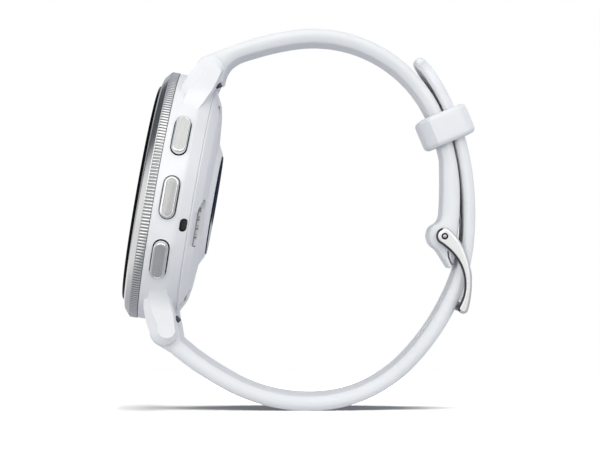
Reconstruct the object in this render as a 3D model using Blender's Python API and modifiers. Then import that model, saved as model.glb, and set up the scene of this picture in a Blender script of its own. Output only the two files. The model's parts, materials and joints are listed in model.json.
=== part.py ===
"""GPS running watch, closed and buckled, standing on the bottom of its band.

Row frame: +Z up, the band loop lies in the XZ plane, +Y is the watch's 9 o'clock side.
The origin is the point where the band rests on the ground, on the mid-plane.
The watch head is modelled in its own frame: local +Z out of the display, local +X to 12 o'clock.
All sizes below are in millimetres.
"""

import math

import bmesh
import bpy
from mathutils import Matrix

MM = 0.001

# Sides of round pieces
FINE = 48
MEDIUM = 32
COARSE = 16

# Watch head
CASE_AT = (-26.89, 0.0, 38.51)  # centre of the bezel's rear plane
CASE_TURN = -80.0  # about Y: the display faces -X and leans back by 10 degrees
BEZEL_R = 22.5
CASE_R = 22.4
CASE_WALL_R = 19.4
CASE_SHOULDER = -4.6  # below this the side narrows towards the back
CASE_FOOT_R = 20.75
CASE_FOOT = -6.7
COVER_R = 20.3
COVER_INSIDE = -7.6
GLASS_R = 19.75
GLASS_FRONT = 3.38
WINDOW_R = 9.0
LUG_HALF_WIDTH = 13.6
LUG_TIP = (23.6, -5.55)
LUG_TIP_R = 2.45
BAR_AT = (23.7, -5.6)  # spring bar axis beside the case, on local X and Z
STRAP_SLOT = 11.2  # half the space between a pair of lugs
SCREW_AT = (16.54, 6.02)  # a screw at each (+-, +-), in the corners behind the lugs
SCREW_SPOTS = [(x * SCREW_AT[0], y * SCREW_AT[1]) for x in (1, -1) for y in (1, -1)]
CHARGE_AT = (-3.6, -15.0)
CHARGE_SIZE = (8.2, 3.2)
CHARGE_PIN_PITCH = 1.6
MOTOR_AT = (13.9, 0.0, 0.0)
LED_CIRCLE_R = 4.4

# Side buttons, on the 3 o'clock side
BUTTON_LEVEL = -2.7
BUTTON_TURNS = {"upper": -60.5, "middle": -90.0, "lower": -119.5}
BUTTON_LENGTH = 7.5
BUTTON_WIDTH = 2.7
BUTTON_FACE = 23.3
BUTTON_BACK = 21.4
STEM_R = 0.75
STEM_END = 18.2
MIC_TURN = -101.8

# Spring bars
BAR_REACH = 12.2  # each pin ends this far from the mid-plane, inside its lug
PIN_LENGTH = 8.2
RELEASE_LENGTH = 7.0
BAR_PIN_R = 0.44
SPRING_R = 0.3
SPRING_TURNS = 4
SPRING_ENDS = (-5.0, 3.6)
LEVER_TURN = 55.0  # from straight into the case, towards the gap beside it

# Band: each half follows arcs of (length, turn in degrees)
UPPER_START = (-13.92, 63.65)
UPPER_HEADING = 22.1
UPPER_ARCS = ((12.0, -14.2), (10.6, -25.1), (11.8, -28.1), (8.5, -20.8), (15.1, -23.7), (3.4, -3.3))
UPPER_THICKNESS = ((0.0, 2.6), (62.0, 2.3))
LOWER_START = (-23.56, 11.39)
LOWER_HEADING = -40.3
LOWER_ARCS = (
    (11.8, 12.3),
    (17.4, 33.5),
    (16.3, 39.3),
    (15.8, 22.1),
    (11.4, 19.9),
    (10.7, 11.6),
    (6.3, 7.8),
    (15.4, 22.0),
)
LOWER_THICKNESS = ((0.0, 2.7), (59.0, 2.6), (71.5, 2.0), (106.0, 2.0))
BAND_HALF_WIDTH = ((0.0, 11.0), (6.0, 11.0), (40.0, 10.0), (106.0, 9.9))
BAND_STEP = 3.0
ROOT_R = 2.75
BAND_EDGE = 0.6
FOOT_HALF = 1.6  # half the flat that the band rests on
HOLE_LENGTH = 4.9
HOLE_WIDTH = 2.0
HOLE_PITCH = 7.2
HOLE_IN_USE = 67.6  # distance along the tail half
HOLES_BEFORE = 2
HOLES_AFTER = 4

# Buckle
PIN_AT = (24.4, 31.2)
BOSS_R = 2.75
BOSS_FROM = 57.0  # distance along the buckle half where its inside swells into the boss
PIN_R = 0.5
ARM_HEADING = -38.0
ARM_RADIUS = 10.87
ARM_LENGTH = 14.3
ARM_HALF_HEIGHT = ((0.0, 1.55), (3.0, 1.2), (6.0, 0.82), (9.0, 0.66), (12.0, 0.66), (14.3, 0.95))
ARM_INSIDE = 10.4
ARM_OUTSIDE = 11.8
CROSSBAR_R = 0.85
TONGUE_HEADING = -40.0
TONGUE_ARCS = ((4.4, -8.0), (2.8, -22.0), (3.0, -26.0), (4.2, -10.0))
TONGUE_HALF_HEIGHT = 0.4
TONGUE_HALF_WIDTH = 0.65

# Keeper
KEEPER_AT = (24.8, 50.8)
KEEPER_TILT = 23.0
KEEPER_CENTRE = (-11.0, 38.0)  # the band's centre of curvature at the keeper
KEEPER_SIZE = (9.1, 24.0, 5.6)
KEEPER_HOLE = (5.55, 20.7)

COLOURS = {
    "case_polymer": ((0.86, 0.87, 0.88), 0.38, 0.0),
    "silicone": ((0.76, 0.79, 0.83), 0.55, 0.0),
    "steel": ((0.62, 0.62, 0.61), 0.3, 1.0),
    "polished_steel": ((0.75, 0.75, 0.75), 0.15, 1.0),
    "dark_steel": ((0.25, 0.26, 0.28), 0.35, 1.0),
    "glass": ((0.01, 0.01, 0.012), 0.08, 0.0),
    "board": ((0.02, 0.18, 0.09), 0.5, 0.0),
    "copper_flex": ((0.55, 0.27, 0.08), 0.45, 0.0),
    "black_plastic": ((0.03, 0.03, 0.032), 0.5, 0.0),
    "grey_plastic": ((0.3, 0.31, 0.33), 0.5, 0.0),
    "rubber_seal": ((0.05, 0.05, 0.05), 0.8, 0.0),
    "battery_foil": ((0.5, 0.5, 0.52), 0.35, 0.8),
    "gold": ((0.83, 0.62, 0.25), 0.25, 1.0),
}


def clear_scene():
    for old in list(bpy.data.objects):
        bpy.data.objects.remove(old, do_unlink=True)


def new_collection(name):
    made = bpy.data.collections.new(name)
    bpy.context.scene.collection.children.link(made)
    return made


def new_material(name, look):
    colour, roughness, metallic = COLOURS[look]
    made = bpy.data.materials.new(name)
    made.use_nodes = True
    shader = made.node_tree.nodes["Principled BSDF"]
    shader.inputs["Base Color"].default_value = (*colour, 1.0)
    shader.inputs["Roughness"].default_value = roughness
    shader.inputs["Metallic"].default_value = metallic
    made.diffuse_color = (*colour, 1.0)
    return made


def empty(name, parent=None, at=(0.0, 0.0, 0.0), turn=(0.0, 0.0, 0.0)):
    made = bpy.data.objects.new(name, None)
    PARTS.objects.link(made)
    made.parent = parent
    made.location = [v * MM for v in at]
    made.rotation_euler = [math.radians(v) for v in turn]
    made.empty_display_size = 2 * MM
    return made


def place(name, bm, look, parent, smooth=True):
    """The bmesh, drawn in millimetres, as an object; look None makes it a cutter."""
    bmesh.ops.scale(bm, vec=(MM, MM, MM), verts=bm.verts)
    bmesh.ops.recalc_face_normals(bm, faces=bm.faces)
    mesh = bpy.data.meshes.new(name)
    bm.to_mesh(mesh)
    bm.free()
    made = bpy.data.objects.new(name, mesh)
    made.parent = parent
    if look is None:
        CUTTERS.objects.link(made)
        made.hide_render = True
        made.display_type = "WIRE"
        return made
    PARTS.objects.link(made)
    mesh.materials.append(new_material(name, look))
    if smooth:
        mesh.shade_smooth()
        mesh.set_sharp_from_angle(angle=math.radians(35))
    return made


def box(name, low, high, look=None, parent=None, edge=0.0):
    """A block between two corners."""
    size = [b - a for a, b in zip(low, high)]
    middle = [(a + b) / 2 for a, b in zip(low, high)]
    bm = bmesh.new()
    bmesh.ops.create_cube(bm, size=1.0)
    bmesh.ops.scale(bm, vec=size, verts=bm.verts)
    bmesh.ops.translate(bm, vec=middle, verts=bm.verts)
    made = place(name, bm, look, parent, smooth=False)
    if edge:
        bevel(made, edge)
    return made


def rod(name, radius, start, length, along, look=None, parent=None, sides=COARSE):
    """A cylinder from a start point, along X, Y or Z."""
    bm = bmesh.new()
    bmesh.ops.create_cone(
        bm,
        cap_ends=True,
        segments=sides,
        radius1=radius,
        radius2=radius,
        depth=length,
        matrix=Matrix.Translation((0, 0, length / 2)),
    )
    if along == "X":
        bmesh.ops.rotate(bm, matrix=Matrix.Rotation(math.radians(90), 3, "Y"), verts=bm.verts)
    if along == "Y":
        bmesh.ops.rotate(bm, matrix=Matrix.Rotation(math.radians(-90), 3, "X"), verts=bm.verts)
    bmesh.ops.translate(bm, vec=start, verts=bm.verts)
    return place(name, bm, look, parent)


def turned(name, profile, look=None, parent=None, steps=64, ring=False):
    """A profile of (radius, height) revolved about local Z, run down its outer side."""
    bm = bmesh.new()
    points = [bm.verts.new((r, 0.0, h)) for r, h in profile]
    for first, second in zip(points, points[1:] + points[:1] if ring else points[1:]):
        bm.edges.new((first, second))
    made = place(name, bm, look, parent, smooth=False)
    screw = made.modifiers.new("Revolve", "SCREW")
    screw.axis = "Z"
    screw.angle = math.tau
    screw.steps = steps
    screw.render_steps = steps
    screw.use_merge_vertices = True
    screw.merge_threshold = 0.00001
    return made


def slab(name, outline, low, high, along, look=None, parent=None, edge=0.0):
    """A flat outline made solid between low and high along X, Y or Z.

    The outline is (y, z) along X, (x, z) along Y and (x, y) along Z.
    """
    curve = bpy.data.curves.new(name + "_outline", "CURVE")
    curve.dimensions = "2D"
    curve.fill_mode = "BOTH"
    curve.extrude = (high - low) / 2
    spline = curve.splines.new("POLY")
    spline.points.add(len(outline) - 1)
    for point, (u, v) in zip(spline.points, outline):
        point.co = (u, v, 0.0, 1.0)
    spline.use_cyclic_u = True
    guide = bpy.data.objects.new(name + "_outline", curve)
    bpy.context.scene.collection.objects.link(guide)
    graph = bpy.context.evaluated_depsgraph_get()
    flat = bpy.data.meshes.new_from_object(guide.evaluated_get(graph))
    bpy.data.objects.remove(guide, do_unlink=True)
    bm = bmesh.new()
    bm.from_mesh(flat)
    bmesh.ops.remove_doubles(bm, verts=bm.verts, dist=0.0005)
    bmesh.ops.dissolve_limit(bm, angle_limit=math.radians(0.5), verts=bm.verts, edges=bm.edges)
    middle = (low + high) / 2
    for vert in bm.verts:
        u, v, h = vert.co
        h += middle
        vert.co = {"X": (h, u, v), "Y": (u, h, v), "Z": (u, v, h)}[along]
    made = place(name, bm, look, parent)
    if edge:
        bevel(made, edge)
    return made


def bevel(target, width, segments=2, angle=50):
    made = target.modifiers.new("Edges", "BEVEL")
    made.width = width * MM
    made.segments = segments
    made.limit_method = "ANGLE"
    made.angle_limit = math.radians(angle)


def combine(target, other, operation):
    made = target.modifiers.new(operation.title() + " " + other.name, "BOOLEAN")
    made.operation = operation
    made.object = other


def cut(target, *cutters):
    for cutter in cutters:
        combine(target, cutter, "DIFFERENCE")


def join(target, *others):
    for other in others:
        combine(target, other, "UNION")


def bake(target):
    """Applies the modifiers, so that the mesh itself can be reshaped."""
    graph = bpy.context.evaluated_depsgraph_get()
    mesh = bpy.data.meshes.new_from_object(target.evaluated_get(graph))
    target.modifiers.clear()
    target.data = mesh


def arc(centre, radius, first, last, count):
    """Points on a circle from one angle to another, both in degrees."""
    angles = [math.radians(first + (last - first) * i / count) for i in range(count + 1)]
    return [(centre[0] + radius * math.cos(a), centre[1] + radius * math.sin(a)) for a in angles]


def pill(centre, length, width, count=5):
    """A stadium outline, long along the first axis."""
    u, v = centre
    reach = (length - width) / 2
    right = arc((u + reach, v), width / 2, -90, 90, count)
    left = arc((u - reach, v), width / 2, 90, 270, count)
    return right + left


def ramp(table, s):
    """The value at s of a table of (s, value), straight between its rows."""
    for (s0, v0), (s1, v1) in zip(table, table[1:]):
        if s <= s1:
            return v0 + (v1 - v0) * max(0.0, s - s0) / (s1 - s0)
    return table[-1][1]


def path_point(start, heading, arcs, s):
    """(x, z, heading in radians) at distance s along a chain of arcs."""
    x, z = start
    angle = math.radians(heading)
    for index, (length, turn) in enumerate(arcs):
        part = min(s, length) if index < len(arcs) - 1 else s
        bend = math.radians(turn) * part / length
        chord = part if not bend else part * math.sin(bend / 2) / (bend / 2)
        x += chord * math.cos(angle + bend / 2)
        z += chord * math.sin(angle + bend / 2)
        angle += bend
        s -= part
        if s <= 0:
            break
    return x, z, angle


def path_length(arcs):
    return sum(length for length, _ in arcs)


def side_points(start, heading, arcs, offset_at, step, first=0.0, last=None):
    """Points beside the path, offset_at(s) to the left of it."""
    last = path_length(arcs) if last is None else last
    count = max(1, round((last - first) / step))
    points = []
    for i in range(count + 1):
        s = first + (last - first) * i / count
        x, z, angle = path_point(start, heading, arcs, s)
        offset = offset_at(s)
        points.append((x - offset * math.sin(angle), z + offset * math.cos(angle)))
    return points


def upper_side(side, first=0.0, last=None):
    """Points along the buckle half's outside (side 1) or inside (side -1)."""

    def half(s):
        return side * ramp(UPPER_THICKNESS, s) / 2

    return side_points(UPPER_START, UPPER_HEADING, UPPER_ARCS, half, BAND_STEP, first, last)


def lower_side(side, first=0.0, last=None):
    """Points along the tail half's inside (side 1) or outside (side -1)."""

    def half(s):
        return side * ramp(LOWER_THICKNESS, s) / 2

    return side_points(LOWER_START, LOWER_HEADING, LOWER_ARCS, half, BAND_STEP, first, last)


def case_to_row(x, z):
    """A point of the head's XZ plane in the row frame."""
    turn = math.radians(CASE_TURN)
    return (
        CASE_AT[0] + x * math.cos(turn) + z * math.sin(turn),
        CASE_AT[2] - x * math.sin(turn) + z * math.cos(turn),
    )


def taper_band(target, start, heading, arcs):
    """Narrows a band half, cut 22 mm wide, to its true width along its length."""
    bake(target)
    total = path_length(arcs)
    stations = [(s, *path_point(start, heading, arcs, s)[:2]) for s in range(0, int(total) + 2)]
    for vert in target.data.vertices:
        x, z = vert.co.x / MM, vert.co.z / MM
        s = min(stations, key=lambda row: (row[1] - x) ** 2 + (row[2] - z) ** 2)[0]
        vert.co.y *= ramp(BAND_HALF_WIDTH, s) / BAND_HALF_WIDTH[0][1]


# --- Watch head -------------------------------------------------------------------------


def make_mid_case():
    body = [
        (0.0, 0.0),
        (CASE_R - 0.15, 0.0),
        (CASE_R, -0.2),
        (CASE_R, CASE_SHOULDER),
        (CASE_FOOT_R, CASE_FOOT),
        (0.0, CASE_FOOT),
    ]
    case = turned("mid_case", body, "case_polymer", HEAD, FINE)
    tip = arc(LUG_TIP, LUG_TIP_R, 38, -80, 5)
    front = [(12.0, -1.2), (20.5, -1.2), (22.35, -1.9)]
    back = [(20.4, -6.85), (17.3, -5.6), (15.0, -5.0), (12.0, -4.8)]
    side = front + tip + back
    for end, sign in (("top", 1), ("bottom", -1)):
        outline = [(sign * x, z) for x, z in side]
        lugs = slab(f"lugs_{end}", outline, -LUG_HALF_WIDTH, LUG_HALF_WIDTH, "Y", None, HEAD, 0.8)
        gap = box(f"lug_gap_{end}", (-40, -STRAP_SLOT, -20), (40, STRAP_SLOT, 5), None, HEAD)
        cut(lugs, gap)
        join(case, lugs)
    cavity = rod("case_cavity", CASE_WALL_R, (0, 0, -12), 16, "Z", None, HEAD, sides=FINE)
    cut(case, cavity)
    for i, (x, y) in enumerate(SCREW_SPOTS, 1):
        boss = rod(f"screw_boss_{i}", 2.1, (x, y, -5.2), 2.6, "Z", None, HEAD, sides=16)
        join(case, boss)
    for i, (x, y) in enumerate(SCREW_SPOTS, 1):
        cut(case, rod(f"screw_bore_{i}", 0.75, (x, y, -8), 8, "Z", None, HEAD, sides=12))
    groove = [(20.25, CASE_FOOT + 0.5), (20.25, -8.0), (19.65, -8.0), (19.65, CASE_FOOT + 0.5)]
    cut(case, turned("seal_groove", groove, None, HEAD, FINE, ring=True))
    for name, hub in BUTTON_FRAMES.items():
        cut_button_seat(case, name, hub)
    port = pill((0.0, -5.85), 2.3, 1.2)
    cut(case, slab("mic_port", port, 20.6, 25.0, "X", None, MIC_FRAME))
    cut(case, rod("mic_duct", 0.35, (18.0, 0, -5.75), 3.0, "X", None, MIC_FRAME, sides=10))
    cut(case, box("speaker_port", (-1.5, 17.0, -4.45), (1.5, 25.0, -3.55), None, HEAD))
    for sign, end in ((1, "top"), (-1, "bottom")):
        at = (sign * BAR_AT[0], -12.6, BAR_AT[1])
        cut(case, rod(f"bar_bore_{end}", 0.6, at, 25.2, "Y", None, HEAD, sides=14))


def cut_button_seat(case, name, hub):
    """The pocket for a cap, the gland for its seal and the bore for its stem."""
    seat = pill((0.0, 0.0), BUTTON_LENGTH + 0.5, BUTTON_WIDTH + 0.5)
    cut(case, slab(f"button_seat_{name}", seat, 20.75, 25.0, "X", None, hub))
    cut(case, rod(f"seal_gland_{name}", 1.45, (19.85, 0, 0), 1.2, "X", None, hub, sides=16))
    cut(case, rod(f"stem_bore_{name}", 0.95, (17.0, 0, 0), 4.0, "X", None, hub, sides=16))


def make_front():
    ring = [
        (19.95, 2.9),
        (20.2, 2.9),
        (21.1, 2.6),
        (BEZEL_R, 1.5),
        (BEZEL_R, 0.05),
        (18.6, 0.05),
        (18.6, 1.7),
        (19.95, 1.7),
    ]
    turned("bezel", ring, "steel", HEAD, FINE, ring=True)
    glass = [
        (0.0, GLASS_FRONT),
        (18.8, GLASS_FRONT),
        (19.35, 3.2),
        (19.7, 2.85),
        (GLASS_R, 2.6),
        (GLASS_R, 2.1),
        (0.0, 2.1),
    ]
    turned("cover_glass", glass, "glass", HEAD, FINE)
    tape = [(19.7, 2.05), (19.7, 1.75), (18.7, 1.75), (18.7, 2.05)]
    turned("display_gasket", tape, "rubber_seal", HEAD, MEDIUM, ring=True)
    rod("display_panel", 18.3, (0, 0, 0.5), 1.5, "Z", "black_plastic", HEAD, sides=MEDIUM)
    flex = ribbon([(12.5, 0.245), (15.62, 0.245), (15.62, -1.425), (12.5, -1.425)])
    slab("display_flex", flex, -3.0, 3.0, "Y", "copper_flex", HEAD)


def ribbon(corners, half=0.075):
    """The outline of a thin strip that turns square corners, on one side then back."""
    outer = []
    inner = []
    for i, (x, z) in enumerate(corners):
        before = corners[max(i - 1, 0)]
        after = corners[min(i + 1, len(corners) - 1)]
        along_in = (x - before[0], z - before[1])
        along_out = (after[0] - x, after[1] - z)
        shift_x = sum(-math.copysign(half, d[1]) for d in (along_in, along_out) if abs(d[1]) > 1e-6)
        shift_z = sum(math.copysign(half, d[0]) for d in (along_in, along_out) if abs(d[0]) > 1e-6)
        shift_x = max(-half, min(half, shift_x))
        shift_z = max(-half, min(half, shift_z))
        outer.append((x + shift_x, z + shift_z))
        inner.append((x - shift_x, z - shift_z))
    return outer + inner[::-1]


def make_inside():
    chassis = rod("inner_chassis", 19.1, (0, 0, -0.75), 0.7, "Z", "grey_plastic", HEAD, sides=MEDIUM)
    cut(chassis, box("flex_slot", (15.1, -3.5, -2), (16.1, 3.5, 2), None, HEAD))
    board = rod("main_board", 16.8, (0, 0, -2.4), 0.8, "Z", "board", HEAD, sides=MEDIUM)
    cut(board, box("board_notch", (-18.0, -2.6, -4), (-13.0, 2.6, 0), None, HEAD))
    box("shield_can", (-3.0, -4.0, -1.55), (8.0, 7.0, -0.85), "steel", HEAD, 0.2)
    box("battery", (-10.5, -8.0, -6.9), (10.5, 9.0, -3.6), "battery_foil", HEAD, 0.7)
    box("speaker", (-5.0, 10.2, -5.6), (5.0, 15.4, -3.0), "black_plastic", HEAD, 0.4)
    strip = arc((0, 0), 18.8, 58, 122, 12) + arc((0, 0), 18.0, 122, 58, 12)
    slab("gps_antenna", strip, -2.6, -0.85, "Z", "gold", HEAD)
    box("microphone", (18.2, -1.4, -6.6), (19.15, 1.4, -4.9), "steel", MIC_FRAME)
    mesh = pill((0.0, -5.85), 2.1, 1.0)
    slab("mic_mesh", mesh, 20.65, 20.85, "X", "black_plastic", MIC_FRAME)
    make_motor()
    flex = ribbon([(-7.0, -7.375), (-13.62, -7.375), (-13.62, -2.675), (-11.5, -2.675)])
    slab("sensor_flex", flex, -2.0, 2.0, "Y", "copper_flex", HEAD)
    around = arc((0, 0), 16.95, -125, -55, 14) + arc((0, 0), 16.8, -55, -125, 14)
    slab("button_flex", around, -4.2, -2.5, "Z", "copper_flex", HEAD)


def make_motor():
    """A coin vibration motor: a can with a fixed axle, and an eccentric weight round it."""
    can = [
        (0.0, -4.2),
        (0.3, -4.2),
        (0.3, -6.05),
        (2.75, -6.05),
        (2.75, -4.0),
        (3.0, -4.0),
        (3.0, -6.3),
        (0.0, -6.3),
    ]
    turned("motor_case", can, "steel", MOTOR_FRAME, COARSE)
    sector = arc((0, 0), 2.6, 0, 180, 10) + arc((0, 0), 0.95, 200, 340, 5)
    weight = slab("motor_weight", sector, -5.7, -4.4, "Z", "dark_steel", MOTOR_FRAME)
    cut(weight, rod("motor_bore", 0.42, (0, 0, -7), 4, "Z", None, MOTOR_FRAME, sides=14))


def make_back():
    shell = [
        (COVER_R, -6.75),
        (COVER_R, -7.15),
        (18.0, -8.3),
        (15.8, -8.7),
        (11.15, -9.1),
        (9.45, -10.1),
        (9.3, -10.2),
        (9.15, -10.2),
        (9.15, -9.4),
        (7.6, -9.4),
        (7.6, -8.5),
        (9.6, -8.5),
        (9.6, COVER_INSIDE),
        (18.9, COVER_INSIDE),
        (18.9, -6.75),
    ]
    cover = turned("back_cover", shell, "case_polymer", HEAD, FINE, ring=True)
    for i, (x, y) in enumerate(SCREW_SPOTS, 1):
        join(cover, rod(f"cover_pad_{i}", 1.9, (x, y, -7.8), 0.9, "Z", None, HEAD, sides=16))
    for i, (x, y) in enumerate(SCREW_SPOTS, 1):
        cut(cover, rod(f"head_seat_{i}", 1.35, (x, y, -9.5), 1.95, "Z", None, HEAD, sides=16))
        cut(cover, rod(f"shank_hole_{i}", 0.8, (x, y, -8), 2, "Z", None, HEAD, sides=12))
        make_screw(i, x, y)
    port = pill(CHARGE_AT, *CHARGE_SIZE)
    cut(cover, slab("charge_opening", port, -12.0, -5.0, "Z", None, HEAD))
    make_charge_port()
    hoop = [(19.95 + u, -6.46 + v) for u, v in arc((0, 0), 0.22, 90, -180, 3)]
    turned("case_gasket", hoop, "rubber_seal", HEAD, MEDIUM, ring=True)
    rim = [
        (0.0, -9.45),
        (WINDOW_R, -9.45),
        (WINDOW_R, -10.0),
        (WINDOW_R - 0.15, -10.15),
        (0.0, -10.15),
    ]
    turned("sensor_window", rim, "glass", HEAD, MEDIUM)
    board = rod("sensor_board", 9.2, (0, 0, -8.35), 0.6, "Z", "board", HEAD, sides=32)
    for i, turn in enumerate((0, 90, 180, 270), 1):
        x, y = arc((0, 0), LED_CIRCLE_R, turn, turn, 1)[0]
        led = box(f"led_{i}", (x - 1.2, y - 1.2, -9.05), (x + 1.2, y + 1.2, -8.2), None, HEAD)
        join(board, led)
    join(board, box("photodiode", (-1.6, -1.6, -9.05), (1.6, 1.6, -8.2), None, HEAD))


def make_screw(number, x, y):
    name = f"back_screw_{number}"
    shape = [(0.0, -3.0), (0.62, -3.0), (0.62, -7.6), (1.2, -7.6), (1.2, -8.2), (0.0, -8.2)]
    hub = empty(f"{name}_axis", HEAD, (x, y, 0.0))
    screw = turned(name, shape, "steel", hub, 12)
    cut(screw, rod(f"drive_{number}", 0.55, (0, 0, -8.5), 0.65, "Z", None, hub, sides=6))


def make_charge_port():
    length, width = (side - 0.2 for side in CHARGE_SIZE)
    shape = pill(CHARGE_AT, length, width)
    block = slab("charge_block", shape, -7.95, -6.3, "Z", "grey_plastic", HEAD)
    for i in range(4):
        x = CHARGE_AT[0] + (i - 1.5) * CHARGE_PIN_PITCH
        bore = rod(f"pin_bore_{i + 1}", 0.46, (x, CHARGE_AT[1], -9), 4, "Z", None, HEAD, sides=12)
        cut(block, bore)
        at = (x, CHARGE_AT[1], -8.35)
        rod(f"charge_pin_{i + 1}", 0.38, at, 2.4, "Z", "gold", HEAD, sides=12)


def make_button(name, hub):
    cap = slab(
        f"button_{name}",
        pill((0.0, 0.0), BUTTON_LENGTH, BUTTON_WIDTH),
        BUTTON_BACK,
        BUTTON_FACE,
        "X",
        "steel",
        hub,
        0.35,
    )
    reach = BUTTON_BACK + 0.3 - STEM_END
    join(cap, rod(f"stem_{name}", STEM_R, (STEM_END, 0, 0), reach, "X", None, hub, sides=16))
    notch = [(1.4, 19.1), (1.4, 18.7), (0.55, 18.7), (0.55, 19.1)]
    cut(cap, across(turned(f"clip_notch_{name}", notch, None, hub, 16, ring=True)))
    clip = [(1.3, 19.05), (1.3, 18.75), (0.62, 18.75), (0.62, 19.05)]
    across(turned(f"button_clip_{name}", clip, "dark_steel", hub, 16, ring=True))
    hoop = [(1.1 + u, 20.25 + v) for u, v in arc((0, 0), 0.26, 90, -180, 3)]
    across(turned(f"button_seal_{name}", hoop, "rubber_seal", hub, COARSE, ring=True))
    switch = box(f"switch_{name}", (17.0, -1.5, -0.8), (17.5, 1.5, 0.8), "steel", hub)
    join(switch, rod(f"plunger_{name}", 0.5, (17.3, 0, 0), 0.35, "X", None, hub, sides=12))


def across(target):
    """Lays a turned piece down, so that its axis is the hub's X."""
    target.rotation_euler[1] = math.radians(90)
    return target


# --- Band -------------------------------------------------------------------------------


def bar_point(sign):
    return case_to_row(sign * BAR_AT[0], BAR_AT[1])


def make_spring_bar(end, sign):
    """A quick-release spring bar along Y; the lever draws its pin inwards."""
    hub = empty(f"bar_{end}_axis", HEAD, (sign * BAR_AT[0], 0.0, BAR_AT[1]))
    wall = [(0.78, 9.9), (0.78, -9.9), (0.52, -9.9), (0.52, 9.9)]
    tube = turned(f"bar_tube_{end}", wall, "steel", hub, COARSE, ring=True)
    tube.rotation_euler[0] = math.radians(90)
    slot = box(f"bar_slot_{end}", (-0.6, -8.7, -3.0), (0.6, -5.2, 0.0), None, hub)
    cut(tube, turn_lever(slot, sign))
    at = (0, BAR_REACH - PIN_LENGTH, 0)
    rod(f"bar_pin_{end}", BAR_PIN_R, at, PIN_LENGTH, "Y", "steel", hub, sides=14)
    at = (0, -BAR_REACH, 0)
    name = f"release_pin_{end}"
    release = rod(name, BAR_PIN_R, at, RELEASE_LENGTH, "Y", "steel", hub, sides=14)
    lever = box(f"lever_{end}", (-0.42, -8.3, -3.3), (0.42, -7.1, 0.1), None, hub)
    join(release, turn_lever(lever, sign))
    make_bar_spring(end, hub)


def make_bar_spring(end, hub):
    """A short coil between the two pins, as a wire wound about the bar's axis."""
    coil = bpy.data.curves.new(f"bar_spring_{end}", "CURVE")
    coil.dimensions = "3D"
    coil.bevel_depth = 0.09 * MM
    coil.bevel_resolution = 0
    coil.use_fill_caps = True
    per_turn = 7
    count = SPRING_TURNS * per_turn
    first, last = SPRING_ENDS
    spline = coil.splines.new("POLY")
    spline.points.add(count)
    for i, point in enumerate(spline.points):
        angle = math.tau * i / per_turn
        x, z = SPRING_R * math.cos(angle), SPRING_R * math.sin(angle)
        y = first + (last - first) * i / count
        point.co = (x * MM, y * MM, z * MM, 1.0)
    spring = bpy.data.objects.new(f"bar_spring_{end}", coil)
    PARTS.objects.link(spring)
    spring.parent = hub
    spring.data.materials.append(new_material(f"bar_spring_{end}", "steel"))


def turn_lever(target, sign):
    """Points a piece drawn along -Z into the gap between the band's root and the case."""
    target.rotation_euler[1] = math.radians(sign * LEVER_TURN)
    return target


def make_strap_upper():
    """The buckle half: from the 12 o'clock lugs over the wrist to the buckle pin."""
    bar = bar_point(1)
    root = arc(bar, ROOT_R, 118, 345, 12)
    inside = upper_side(-1, last=BOSS_FROM)
    boss = arc(PIN_AT, BOSS_R, 118, 232, 7)
    flap = [(23.4, 27.6), (25.0, 25.4), (25.6, 25.7), (26.0, 27.6)]
    outline = root + inside + boss + flap + upper_side(1)[::-1]
    strap = slab("strap_upper", outline, -11.0, 11.0, "Y", "silicone")
    bevel(strap, BAND_EDGE, segments=1)
    taper_band(strap, UPPER_START, UPPER_HEADING, UPPER_ARCS)
    hollow = arc(PIN_AT, 1.75, 60, 250, 8) + [(26.5, 24.0), (30.0, 24.0), (30.0, 34.0)]
    cut(strap, slab("tongue_slot", hollow, -1.15, 1.15, "Y", None, None))
    cut(strap, rod("pin_bore", PIN_R + 0.15, (PIN_AT[0], -13, PIN_AT[1]), 26, "Y", None, None, 16))
    cut_strap_root(strap, "top", 1)


def make_strap_lower():
    """The tail half: from the 6 o'clock lugs under the wrist, through the buckle."""
    bar = bar_point(-1)
    total = path_length(LOWER_ARCS)
    root = arc(bar, ROOT_R, 15, 242, 12)
    outside = lower_side(-1)
    x, z, heading = path_point(LOWER_START, LOWER_HEADING, LOWER_ARCS, total)
    tip = arc((x, z), 1.0, math.degrees(heading) - 60, math.degrees(heading) + 60, 4)
    before = [p for p in outside if p[0] < -FOOT_HALF - 1.0]
    after = [p for p in outside if p[0] > FOOT_HALF + 1.0]
    foot = [(-FOOT_HALF, 0.0), (FOOT_HALF, 0.0)]
    outline = root + before + foot + after + tip + lower_side(1)[::-1]
    strap = slab("strap_lower", outline, -11.0, 11.0, "Y", "silicone")
    bevel(strap, BAND_EDGE, segments=1)
    taper_band(strap, LOWER_START, LOWER_HEADING, LOWER_ARCS)
    for i in range(-HOLES_BEFORE, HOLES_AFTER + 1):
        s = HOLE_IN_USE + i * HOLE_PITCH
        x, z, heading = path_point(LOWER_START, LOWER_HEADING, LOWER_ARCS, s)
        hub = empty(f"hole_axis_{i + HOLES_BEFORE + 1}", None, (x, 0, z))
        hub.rotation_euler[1] = -heading
        shape = pill((0.0, 0.0), HOLE_LENGTH, HOLE_WIDTH, 4)
        cut(strap, slab(f"hole_{i + HOLES_BEFORE + 1}", shape, -2.5, 2.5, "Z", None, hub))
    cut_strap_root(strap, "bottom", -1)


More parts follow.
